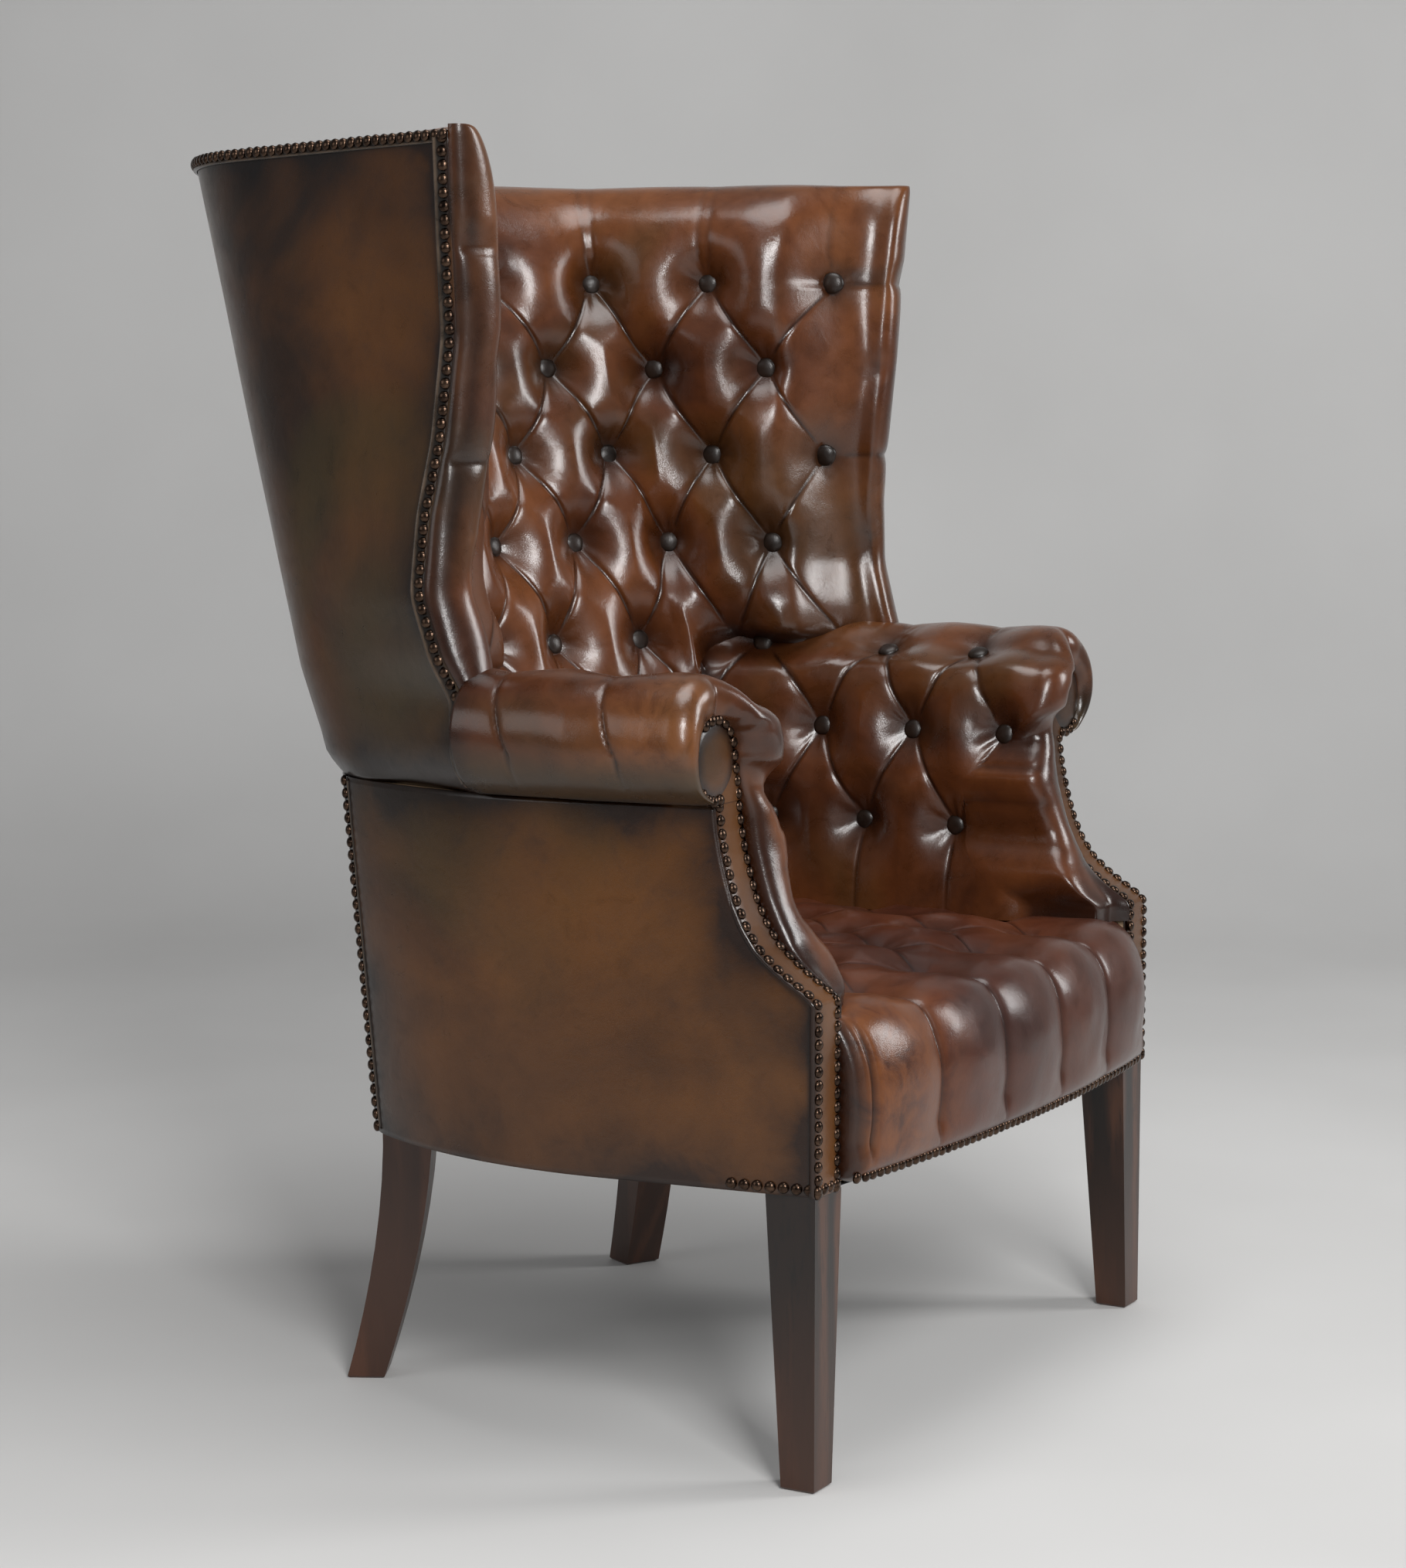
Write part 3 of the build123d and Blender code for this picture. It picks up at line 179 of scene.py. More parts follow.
def softened(rows, width=0.03):
    """A table of shares with its corners eased."""
    fine = np.linspace(0, 1, 401)
    kernel = np.hanning(int(width * 800) | 1)
    kernel /= kernel.sum()
    half = len(kernel) // 2
    out = [fine]
    for c in range(1, len(rows[0])):
        v = looked_up(rows, fine, c)
        pad = np.concatenate([2 * v[0] - v[half:0:-1], v, 2 * v[-1] - v[-2:-half - 2:-1]])
        out.append(np.convolve(pad, kernel, "valid"))
    return np.stack(out, axis=1)


SWEEP_F, WING_F = softened(SWEEP, .025), softened(WING)
SWELL_F, SHOULDER_F = softened(SWELL, .05), softened(SHOULDER)
# Heights above the floor
LEG_TOP, SEAT_EDGE, ARM_SEAM, HEM, WAIST, SHELL_TOP = 247.0, 396.0, 562.0, 597.0, 655.0, 1104.0
# The wings stand on the arm padding above this height
ABOVE_ARMS = 670.0
# Depths in from the outside: the back of the leather, the wall that seat and arms meet, the buttons;
# and how far the puffs of the back stand out beyond its buttons
HIDE, WALL, BUTTON_DEPTH, BACK_PUFF = 3.6, 39.8, 97.0, 34.0
# Rows and columns of the button grids
ROW_PITCH, TOP_ROW_PITCH, ARM_COLUMN, SEAT_COLUMN, SEAT_ROW = 88.0, 85.0, 50.0, 60.0, 75.0
# Half the pitch of the back's buttons, as a share of the length of their line, and at the seat
BACK_PITCH_SHARE, SEAT_LEVEL_PITCH = 0.11375, 49.0


def arm_front(z):
    return 92.0 * looked_up(SWEEP_F, ramp(z, 405, ARM_SEAM))


def lower_shell(z):
    t = ramp(z, LEG_TOP, ARM_SEAM)
    turns = [math.radians(mix(a, b, t)) for a, b in zip((35, 62, 97), (36, 64, 98))]
    radii = (mix(514, 505, t), mix(87, 95, t), mix(420, 430, t))
    bends = Line(mix(562, 597, t), tuple(zip(radii, turns)), 0.0)
    end_y = bends.place(bends.length)[1]
    return Line(bends.depth, bends.arcs, (end_y - arm_front(z)) / math.sin(turns[-1]))


def hem_swell(z):
    return looked_up(SWELL_F, ramp(z, ARM_SEAM, HEM))


def wing_edge(z):
    t = ramp(z, HEM, SHELL_TOP)
    return mix(371, 412 * looked_up(WING_F, t), hem_swell(z)), 305 * looked_up(WING_F, t, 2)


def levels3(z, low, middle, high):
    if z < WAIST:
        return mix(low, middle, ramp(z, HEM, WAIST))
    return mix(middle, high, ramp(z, WAIST, SHELL_TOP))


def upper_shell(z):
    fx, fy = wing_edge(z)
    return tangent_line(levels3(z, mix(597.4, 622, hem_swell(z)), 648, 772), levels3(z, 494, 480, 422),
                        math.radians(levels3(z, 36, 36.5, 38)), levels3(z, 126, 140, 215), fx, fy)


def inner_back(z):
    t = ramp(z, WAIST, SHELL_TOP)
    outside = upper_shell(z)
    fx, fy, _ = outside.place(outside.length, BUTTON_DEPTH)
    turn = math.radians(mix(36.5, 38, t))
    return tangent_line(mix(550, 675, t), mix(383, 325, t), turn, mix(60, 118, t), fx, fy)


def inner_seat(z):
    t = (z - SEAT_EDGE) / (WAIST - SEAT_EDGE)
    bends = ((mix(400, 383, t), math.radians(mix(36, 36.5, t))), (90, math.pi / 2))
    return Line(mix(481, 550, t), bends, 370.0)


TOP_LENGTH = inner_back(ABOVE_ARMS).length


def back_pitch(z):
    if z > ABOVE_ARMS:
        return inner_back(z).length * BACK_PITCH_SHARE
    return mix(SEAT_LEVEL_PITCH, TOP_LENGTH * BACK_PITCH_SHARE, ramp(z, SEAT_EDGE, ABOVE_ARMS))


def row_height(v):
    i = min(max(int(v), 0), 5)
    return mix(ROWS[i], ROWS[i + 1], v - i)


# The buttoned surface
def tufts(u, v, pitch, row, first, last, side_last, seed=0.0):
    """Share of the full puff at a place counted in columns and rows, and how much painted shade and patina
    darken it there.

    Pleats run diagonally from button to button, and straight on beyond the outer buttons."""
    vi = np.clip(v, first, last)
    ui = np.clip(u, -side_last, side_last)
    a = np.abs(np.sin(np.pi * (ui + vi) / 2))
    b = np.abs(np.sin(np.pi * (ui - vi) / 2))
    near = np.minimum(a, b)
    near = np.abs(near - 0.13 * ease(first - v, 0.12, 0.35))
    beyond = np.maximum(np.maximum(first - v, v - last), np.abs(u) - side_last)
    calm = 1 - 0.45 * ease(beyond, 0.1, 0.9)
    # nearest button
    near_v = np.clip(np.round(v), first, last)
    near_u = near_v % 2 + 2 * np.round((u - near_v % 2) / 2)
    other_v = np.clip(np.where(v > near_v, near_v + 1, near_v - 1), first, last)
    other_u = other_v % 2 + 2 * np.round((u - other_v % 2) / 2)
    dx, dy = (u - near_u) * pitch, (v - near_v) * row
    ex, ey = (u - other_u) * pitch, (v - other_v) * row
    swap = ex * ex + ey * ey < dx * dx + dy * dy
    dx, dy = np.where(swap, ex, dx), np.where(swap, ey, dy)
    bu, bv = np.where(swap, other_u, near_u), np.where(swap, other_v, near_v)
    r = np.hypot(dx, dy)
    angle = np.arctan2(dy, dx)
    phase = 6.28 * hashed(bu, bv, seed + 5)
    depth = 1 - np.exp(-(r / 25.0) ** 1.55)
    pillow = (a * b) ** 0.52
    full = depth * (1 - 0.25 * calm + 0.25 * calm * pillow)
    full = full * (1 + 0.05 * noise(u * 0.5 + 3, v * 0.5, seed + 3))
    full = full - 0.085 * calm * np.exp(-near / 0.075) * ramp(r, 6, 22)
    star = np.cos(9 * angle + phase + 0.9 * np.sin(2 * angle + phase)) * np.exp(-((r - 17) / 8.5) ** 2)
    lean = 0.5 + 0.5 * np.sin(angle + phase)
    full = full + 0.032 * star * lean
    # painted shade and patina along the pleats and in the dimple round each button
    shade_and_patina = 0.85 * calm * np.exp(-near / 0.055) * ramp(r, 4, 20)
    shade_and_patina = np.maximum(shade_and_patina, np.maximum(np.exp(-(r / 16.5) ** 2), 0.65 * np.exp(-(r / 25.0) ** 2)))
    return full, np.clip(shade_and_patina, 0, 1)


def drift(u, v, seed):
    """Small wandering of the pleats over the surface, in columns and rows."""
    return 0.05 * noise(u * 0.9, v * 0.9, seed), 0.04 * noise(u * 0.9 + 5, v * 0.9, seed + 1)


# Meshes
MATERIALS = {}


def piece(name, verts, faces, material, attributes=None):
    co = (np.asarray(verts, float) - (0.0, SHIFT, 0.0)) * MM
    me = bpy.data.meshes.new(name)
    me.from_pydata(co.tolist(), [], [list(map(int, f)) for f in faces])
    for key, values in (attributes or {}).items():
        layer = me.attributes.new(key, "FLOAT", "POINT")
        layer.data.foreach_set("value", np.asarray(values, np.float32))
    me.polygons.foreach_set("use_smooth", [True] * len(me.polygons))
    me.validate()
    me.update()
    me.materials.append(MATERIALS[material])
    obj = bpy.data.objects.new(name, me)
    bpy.context.scene.collection.objects.link(obj)
    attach(obj, BODY)
    return obj


def grid_faces(rows, cols, lean=None, keep=None):
    """Faces of a grid: squares, or triangles where lean says how each cell is split; keep masks cells."""
    r, c = np.meshgrid(np.arange(rows - 1), np.arange(cols - 1), indexing="ij")
    r, c = r.ravel(), c.ravel()
    if keep is not None:
        k = keep.ravel()
        r, c = r[k], c[k]
    a, b, d, e = r * cols + c, r * cols + c + 1, (r + 1) * cols + c + 1, (r + 1) * cols + c
    if lean is None:
        return np.stack([a, b, d, e], axis=1).tolist()
    m = lean[r, c]
    first = np.where(m[:, None], np.stack([a, b, e], 1), np.stack([a, b, d], 1))
    second = np.where(m[:, None], np.stack([b, d, e], 1), np.stack([a, d, e], 1))
    return np.concatenate([first, second]).tolist()


def flipped(faces):
    return [f[::-1] for f in faces]


def sheet_faces(rows, cols, turned, rim_turned):
    """Faces of a sheet with a front, a back and the rim that joins them."""
    total = rows * cols
    faces = grid_faces(rows, cols)
    if turned:
        faces = flipped(faces)
    faces = faces + [[v + total for v in f[::-1]] for f in faces]
    ring = list(range(cols)) + [r * cols + cols - 1 for r in range(1, rows)]
    ring += [(rows - 1) * cols + i for i in range(cols - 2, -1, -1)]
    ring += [r * cols for r in range(rows - 2, 0, -1)]
    rim = [[a, b, b + total, a + total] for a, b in zip(ring, ring[1:] + ring[:1])]
    return faces + (flipped(rim) if rim_turned else rim)


def pleat_lean(u, v):
    """Which diagonal of each cell lies along the pleats."""
    middle_u, middle_v = (u[:-1, :-1] + u[1:, 1:]) / 2, (v[:-1, :-1] + v[1:, 1:]) / 2
    return (np.floor(middle_u) + np.floor(middle_v)) % 2 == 0


def drop_unused(verts, faces, attributes):
    used = np.unique(np.concatenate([np.asarray(f) for f in faces]))
    index = -np.ones(len(verts), int)
    index[used] = np.arange(len(used))
    faces = [[int(index[i]) for i in f] for f in faces]
    return verts[used], faces, {k: np.asarray(v)[used] for k, v in attributes.items()}


# Materials
def rgb(r, g, b):
    return (r, g, b, 1.0)


def grey(v):
    return rgb(v, v, v)


def link(source, target):
    source.id_data.links.new(source, target)


def feed(socket, value):
    """Links an output to a socket, or sets the socket to a plain value."""
    if isinstance(value, bpy.types.NodeSocket):
        link(value, socket)
    else:
        socket.default_value = value


def node_material(name):
    MATERIALS[name] = bpy.data.materials.new(name)
    MATERIALS[name].use_nodes = True
    tree = MATERIALS[name].node_tree
    tree.nodes.clear()
    out = tree.nodes.new("ShaderNodeOutputMaterial")
    bsdf = tree.nodes.new("ShaderNodeBsdfPrincipled")
    link(bsdf.outputs["BSDF"], out.inputs["Surface"])
    return tree, bsdf, tree.nodes.new("ShaderNodeTexCoord").outputs["Object"]


def add(tree, kind, **inputs):
    node = tree.nodes.new(kind)
    for key, value in inputs.items():
        if hasattr(node, key):
            setattr(node, key, value)
        else:
            feed(node.inputs[key.replace("_", " ")], value)
    return node


def noise_node(tree, vector, scale, detail, roughness=0.5, distortion=0.0):
    return add(tree, "ShaderNodeTexNoise", Vector=vector, Scale=scale, Detail=detail, Roughness=roughness,
               Distortion=distortion).outputs["Fac"]


def ramp_node(tree, source, *stops):
    node = add(tree, "ShaderNodeValToRGB", Fac=source)
    element = node.color_ramp.elements
    while len(element) > 1:
        element.remove(element[-1])
    element[0].position, element[0].color = stops[0]
    for position, colour in stops[1:]:
        element.new(position).color = colour
    return node.outputs["Color"]


def math_node(tree, operation, *values):
    node = add(tree, "ShaderNodeMath", operation=operation)
    for socket, value in zip(node.inputs, values):
        feed(socket, value)
    return node.outputs["Value"]


def mix_colour(tree, blend, fac, a, b):
    node = add(tree, "ShaderNodeMix", data_type="RGBA", blend_type=blend, Factor=fac)
    for name, value in (("A", a), ("B", b)):
        feed([s for s in node.inputs if s.name == name and s.type == "RGBA"][0], value)
    return [s for s in node.outputs if s.type == "RGBA"][0]


def bump(tree, strength, distance, height):
    return add(tree, "ShaderNodeBump", Strength=strength, Distance=distance, Height=height)


def set_gloss(tree, bsdf, source, rough, low=0.0, high=1.0):
    """Roughness that follows a texture between two values."""
    node = add(tree, "ShaderNodeMapRange", Value=source, From_Min=low, From_Max=high, To_Min=rough[0],
               To_Max=rough[1])
    feed(bsdf.inputs["Roughness"], node.outputs["Result"])


def set_coat(bsdf, weight, roughness):
    feed(bsdf.inputs["Coat Weight"], weight)
    feed(bsdf.inputs["Coat Roughness"], roughness)


def leather(name, dark, middle, light, paler, olive, rough, coat, mottle, patches, streak=0.0):
    """Hand-dyed polished leather: mottled, with olive patches; near-black in creases, seams and hollows as
    painted shade, and along edges as patina; paler and olive where the mesh marks it, which on the seat and
    the banding is painted light and sheen.
    """
    tree, bsdf, coords = node_material(name)
    big = noise_node(tree, coords, mottle, 4.0, 0.55, 0.5)
    cloud = noise_node(tree, coords, mottle * 0.55, 3.0, 0.55, 0.8)
    fine = noise_node(tree, coords, 34.0, 6.0, 0.62, 0.6)
    speck = noise_node(tree, coords, 170.0, 3.0, 0.6)
    wrinkle = noise_node(tree, coords, 70.0, 4.0, 0.55, 0.8)
    tint, shade_and_patina, paler_share = [add(tree, "ShaderNodeAttribute", attribute_name=key).outputs["Fac"]
                         for key in ("olive", "shade_and_patina", "paler")]
    colour = ramp_node(tree, big, (0.30, dark), (0.48, middle), (0.70, light))
    green = ramp_node(tree, cloud, (0.50, grey(0.0)), (0.66, grey(patches)))
    colour = mix_colour(tree, "MIX", math_node(tree, "MAXIMUM", green, tint), colour, olive)
    blot = ramp_node(tree, fine, (0.30, grey(0.70)), (0.55, grey(1.0)), (0.75, grey(1.15)))
    colour = mix_colour(tree, "MULTIPLY", 0.8, colour, blot)
    fleck = ramp_node(tree, speck, (0.28, grey(0.75)), (0.46, grey(1.0)))
    colour = mix_colour(tree, "MULTIPLY", 0.35, colour, fleck)
    # The mesh's lightening attribute turns the colour paler along crests and top edges, and as painted light
    # on the lit front corner of the seat and the bright edges of the banding.
    spread = ramp_node(tree, fine, (0.35, grey(0.2)), (0.60, grey(1.0)))
    colour = mix_colour(tree, "MIX", math_node(tree, "MULTIPLY", paler_share, spread), colour, paler)
    # Painted shade: the mesh's darkening attribute takes creases, seams and hollows towards near black,
    # ragged where streaked; along panel edges the same darkening is patina.
    ragged = math_node(tree, "MULTIPLY_ADD", fine, streak, shade_and_patina)
    shade = ramp_node(tree, ragged, (0.5 * streak, grey(0.0)), (0.95 + 0.1 * streak, grey(0.95)))
    colour = mix_colour(tree, "MULTIPLY", shade, colour, rgb(0.09, 0.06, 0.05))
    feed(bsdf.inputs["Base Color"], colour)
    set_gloss(tree, bsdf, fine, rough, 0.3, 0.7)
    set_coat(bsdf, coat, 0.12)
    feed(bsdf.inputs["Specular IOR Level"], 0.38)
    cells = add(tree, "ShaderNodeTexVoronoi", feature="DISTANCE_TO_EDGE", Scale=620.0, Vector=coords)
    pores = ramp_node(tree, cells.outputs["Distance"], (0.0, grey(0.0)), (0.22, grey(1.0)))
    relief = bump(tree, 0.16, 0.0014, wrinkle)
    feed(relief.inputs["Normal"], bump(tree, 0.07, 0.0005, pores).outputs["Normal"])
    for socket in ("Normal", "Coat Normal"):
        feed(bsdf.inputs[socket], relief.outputs["Normal"])


leather("outer", rgb(.024, .010, .004), rgb(.078, .028, .006), rgb(.138, .050, .009), rgb(.22, .12, .05),
        rgb(.050, .034, .008), rough=(0.26, 0.40), mottle=4.6, coat=0.30, streak=0.8, patches=0.75)
leather("inner", rgb(.040, .011, .004), rgb(.092, .026, .007), rgb(.152, .047, .011), rgb(.20, .072, .020),
        rgb(.052, .030, .008), rough=(0.24, 0.36), coat=0.45, mottle=6.5, patches=0.45)
# On the seat the fourth colour is painted light, the orange of its lit near front corner, and the fifth a
# painted reflection, the purplish sheen of its far flutes.
leather("seat", rgb(.036, .010, .006), rgb(.080, .021, .009), rgb(.125, .036, .013), rgb(.165, .052, .012),
        rgb(.058, .024, .017), rough=(0.28, 0.40), coat=0.30, mottle=6.5, patches=0.5)
leather("button", rgb(.005, .003, .002), rgb(.010, .005, .003), rgb(.020, .010, .006), rgb(.04, .022, .014),
        rgb(.008, .006, .003), rough=(0.32, 0.44), coat=0.10, mottle=30.0, patches=0.3)
# On the banding the fourth colour is a painted highlight: the bright lines along its proud edges.
leather("trim", rgb(.006, .004, .003), rgb(.012, .008, .005), rgb(.024, .014, .008), rgb(.11, .075, .05),
        rgb(.014, .011, .006), rough=(0.24, 0.38), mottle=14.0, coat=0.30, patches=0.4)


def wood(name, dark, middle, light, rough, coat):
    """Wood with its grain stretched upwards, lighter on worn edges."""
    tree, bsdf, coords = node_material(name)
    grain = add(tree, "ShaderNodeMapping", Vector=coords, Scale=(1.0, 1.0, 0.14)).outputs["Vector"]
    rings = add(tree, "ShaderNodeTexWave", Vector=grain, Scale=9.0, Distortion=7.0, Detail=4.0,
                Detail_Scale=2.2).outputs["Fac"]
    pores = noise_node(tree, grain, 260.0, 3.0, 0.6)
    cloud = noise_node(tree, grain, 14.0, 4.0, 0.6)
    colour = ramp_node(tree, rings, (0.15, dark), (0.55, middle), (0.9, light))
    tone = ramp_node(tree, cloud, (0.3, grey(0.55)), (0.7, grey(1.2)))
    colour = mix_colour(tree, "MULTIPLY", 0.8, colour, tone)
    pits = ramp_node(tree, pores, (0.36, grey(0.35)), (0.46, grey(1.0)))
    colour = mix_colour(tree, "MULTIPLY", 0.7, colour, pits)
    edge = tree.nodes.new("ShaderNodeNewGeometry").outputs["Pointiness"]
    paler = ramp_node(tree, edge, (0.50, grey(0.0)), (0.62, grey(0.5)))
    colour = mix_colour(tree, "MIX", paler, colour, light)
    feed(bsdf.inputs["Base Color"], colour)
    set_gloss(tree, bsdf, cloud, rough)
    set_coat(bsdf, coat, 0.2)
    feed(bsdf.inputs["Normal"], bump(tree, 0.18, 0.0005, pores).outputs["Normal"])


wood("mahogany", rgb(.010, .004, .002), rgb(.032, .011, .005), rgb(.075, .027, .012), rough=(0.30, 0.46),
     coat=0.15)
wood("beech", rgb(.33, .20, .11), rgb(.46, .30, .17), rgb(.58, .40, .25), rough=(0.5, 0.7), coat=0.0)


def cloth(name, dark, light, count):
    """Plain woven cloth."""
    tree, bsdf, coords = node_material(name)
    threads = [add(tree, "ShaderNodeTexWave", Vector=coords, Scale=count, Distortion=0.6, Detail=1.0,
                   bands_direction=direction).outputs["Fac"] for direction in ("X", "Z")]
    weave = math_node(tree, "MULTIPLY", *threads)
    tone = ramp_node(tree, noise_node(tree, coords, 40.0, 4.0), (0.3, grey(0.75)), (0.7, grey(1.1)))
    colour = mix_colour(tree, "MULTIPLY", 0.8, ramp_node(tree, weave, (0.0, dark), (0.6, light)), tone)
    feed(bsdf.inputs["Base Color"], colour)
    feed(bsdf.inputs["Roughness"], 0.9)
    feed(bsdf.inputs["Normal"], bump(tree, 0.5, 0.0004, weave).outputs["Normal"])


cloth("canvas", rgb(.30, .24, .16), rgb(.50, .42, .30), 420.0)
cloth("jute", rgb(.22, .15, .08), rgb(.42, .31, .18), 240.0)
cloth("dust_cloth", rgb(.010, .010, .011), rgb(.026, .026, .028), 520.0)


def metal(name, dark, light, rough):
    """Metal with tarnished spots."""
    tree, bsdf, coords = node_material(name)
    spots = noise_node(tree, coords, 150.0, 4.0, 0.6)
    feed(bsdf.inputs["Base Color"], ramp_node(tree, spots, (0.32, dark), (0.64, light)))
    feed(bsdf.inputs["Metallic"], 1.0)
    set_gloss(tree, bsdf, spots, rough)
    feed(bsdf.inputs["Normal"], bump(tree, 0.25, 0.0004, spots).outputs["Normal"])


metal("bronze", rgb(.022, .014, .011), rgb(.100, .062, .042), (0.18, 0.34))
metal("steel", rgb(.16, .15, .14), rgb(.42, .41, .40), (0.3, 0.5))


# Buttoned back, wings and their rolls
TOP_PROFILE = chaikin([(131, 1010), (130, 1028), (126, 1052), (117, 1075), (100, 1094), (80, 1107),
                       (60, 1110.8), (38, 1110.2), (18, 1108.2), (4, 1105.6)], 2)
# Thickness of the padding at the front edge of the wing, and how far its roll stands forward
WING_EDGE, WING_FRONT = 50.0, 13.0


def wing_taper(run, pitch, length):
    """How far the padding has thinned towards the front edge of the wing."""
    return ease(np.abs(run), 7.2 * pitch, length - 10.0)


def back_skin():
    nu = nv = 20
    columns = np.arange(-8 * nu, 8 * nu + 1) / nu
    v_rows = np.arange(7 * nv, 0, -1) / nv
    heights = [row_height(min(v, 6.985)) for v in v_rows]
    top = resample(TOP_PROFILE, 40)
    wing_n, roll_n = 12, 17
    verts, shade_and_patina, lean_rows, u_all, keep = [], [], [], [], []
    tangent = np.gradient(top, axis=0)
    tangent /= np.linalg.norm(tangent, axis=1)[:, None]
    arc = arc_length(top)
    rows = [(z, v, None) for z, v in zip(heights, v_rows)] + [(top[i, 1], None, i) for i in range(len(top))]
    for z, v, index in rows:
        zz = min(z, SHELL_TOP)
        line, outer, pitch = inner_back(zz), upper_shell(max(zz, 600.0)), back_pitch(zz)
        last = line.length / pitch
        side = np.linspace(8, last, wing_n + 1)[1:]
        u = np.concatenate([-side[::-1], columns, side])
        run = u * pitch
        edge = wing_taper(run, pitch, line.length)
        lean_puff = ease(np.abs(u), 6.6, 8.0)
        if index is None:
            du, dv = drift(u, v, 61)
            free = (1 - ease(np.abs(u), 7.2, 8.0)) * ramp(z, 400, 430) * ramp(1005 - z, 0, 40)
            run = run + du * pitch * free
            g, cr = tufts(u, v, pitch, ROW_PITCH, 0, 6, 8)
            thickness = mix(BUTTON_DEPTH + (BACK_PUFF - 16 * lean_puff) * g, WING_EDGE + 7 * (g - 1), edge)
            level = z + dv * ROW_PITCH * free
        else:
            s = arc[index] / arc[-1]
            g, cr = tufts(u, -arc[index] / TOP_ROW_PITCH, pitch, ROW_PITCH, 0, 6, 8)
            full = mix(BUTTON_DEPTH + BACK_PUFF - 16 * lean_puff, WING_EDGE, edge)
            share = top[index, 0] / (BUTTON_DEPTH + BACK_PUFF)
            # the crease grows shallow towards the nailed top edge
            depth = mix(BACK_PUFF, 6.0, smooth(min(1.0, s * 1.6)))
            depth = depth * (1 - smooth(max(0.0, (s - 0.8) / 0.2)))
            depth = depth * mix(1.0, 0.12, edge)
            nx, nz = -tangent[index, 1], tangent[index, 0]
            thickness = full * share + nx * depth * (1 - g) * mix(1.0, 0.6, edge)
            level = z + nz * depth * (1 - g)
            thickness = np.maximum(thickness, 1.5)
            cr = cr * (1 - 0.6 * s)
        # rounded lower edge of the wings, resting on the arms
        if index is None:
            tuck = ease(np.abs(u), 5.7, 6.4) * (1 - ramp(z, 652, 694))
            thickness = thickness - 20 * (1 - np.sqrt(np.maximum(0, 1 - tuck ** 2)))
            # seam against the arm padding
            seam = ease(np.abs(u), 4.95, 5.6) * (1 - ease(z, 636, 664))
            thickness = thickness - 27 * seam
            # painted shade in the seam against the arm padding and under the tucked lower edge of the wings
            cr = np.maximum(cr, seam)
            cr = np.maximum(cr, 0.8 * ease(tuck, 0.5, 1.0))
        x, y, _ = line.place(run, thickness - BUTTON_DEPTH)
        ox, oy, _ = outer.place(outer.length - (line.length - np.abs(run)), thickness)
        ox = np.where(run < 0, -ox, ox)
        x, y = mix(x, ox, edge), mix(y, oy, edge)
        if index is None and z < 700:
            ix, iy, _ = inner_seat(z).place(run, thickness - BUTTON_DEPTH)
            blend = 1 - ease(z, 640.0, 690.0)
            blend = blend * (1 - ease(np.abs(u), 6.0, 6.5))
            x, y = mix(x, ix, blend), mix(y, iy, blend)
        pts = np.stack([x, y, level], axis=1)
        # roll round the front edge of the wing
        half = thickness[-1] / 2
        ox, oy, oa = outer.place(outer.length)
        share = 1.0 if index is None else math.sqrt(max(0.0, 1 - (arc[index] / arc[-1]) ** 2.2))
        ahead = np.array([math.cos(oa), -math.sin(oa)])
        behind = np.array([-math.sin(oa), -math.cos(oa)])
        theta = np.linspace(0, np.pi, roll_n + 1)[1:]
        forward = WING_FRONT * share
        vv = v if index is None else 0.0
        d = abs(math.sin(math.pi * (vv + noise(3.0, vv) * 0.02) / 2))
        groove = 3.0 * math.exp(-d / 0.07) + 2.0 * math.exp(-d / 0.3)
        groove = groove * np.sin(np.minimum(theta, np.pi * 0.92)) ** 0.5
        if index is not None:
            groove = groove * max(0.0, 1 - arc[index] / 26.0)
        w_in = half + (half - 0.6) * np.cos(theta)
        w_f = (forward - groove) * np.sin(theta)
        w_f = w_f + 0.9 * noise(theta * 1.2, z / 70.0, 7) * np.sin(theta) * share
        rx = ox + w_in * behind[0] + w_f * ahead[0]
        ry = oy + w_in * behind[1] + w_f * ahead[1]
        right = at_height(rx, ry, level[-1])
        left = right[::-1] * np.array([-1, 1, 1])
        verts.append(np.concatenate([left, pts, right]))
        patina = 0.85 * ease(theta, 0.7, 2.1) * (0.7 + 0.3 * noise(theta * 2.0, zz / 38.0, 85))
        # The roll darkens with patina towards its outer side; painted shade where it runs in under the
        # banding and in its grooves.
        side_cr = np.maximum(0.8 * ease(theta, 2.5, 3.14), patina)
        if index is None:
            side_cr = np.maximum(side_cr, math.exp(-d / 0.06) * 0.9 * np.sin(theta))
        shade_and_patina.append(np.concatenate([side_cr[::-1], cr, side_cr]))
        u_row = np.concatenate([np.full(roll_n, -last), u, np.full(roll_n, last)])
        u_all.append(u_row)
        lean_rows.append(v if index is None else -1.0)
        keep.append((np.abs(u_row) <= 6.0) | (z > 646))
    verts = np.array(verts)
    n_rows, n_cols = verts.shape[:2]
    u_all, v_all = np.array(u_all), np.array(lean_rows)[:, None] * np.ones((1, n_cols))
    keep = np.array(keep)
    cell = keep[:-1, :-1] & keep[1:, 1:] & keep[:-1, 1:] & keep[1:, :-1]
    faces = grid_faces(n_rows, n_cols, pleat_lean(u_all, v_all), cell)
    flat = verts.reshape(-1, 3)
    paler = 0.35 * ease(flat[:, 2], 1085, 1110)
    flat, faces, attributes = drop_unused(flat, faces, {"shade_and_patina": np.array(shade_and_patina).ravel(), "paler": paler})
    obj = piece("back_and_wings_leather", flat, faces, "inner", attributes)
    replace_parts(obj, "inside_back", "lower_back_pad", "wing_roll_left", "wing_roll_right")


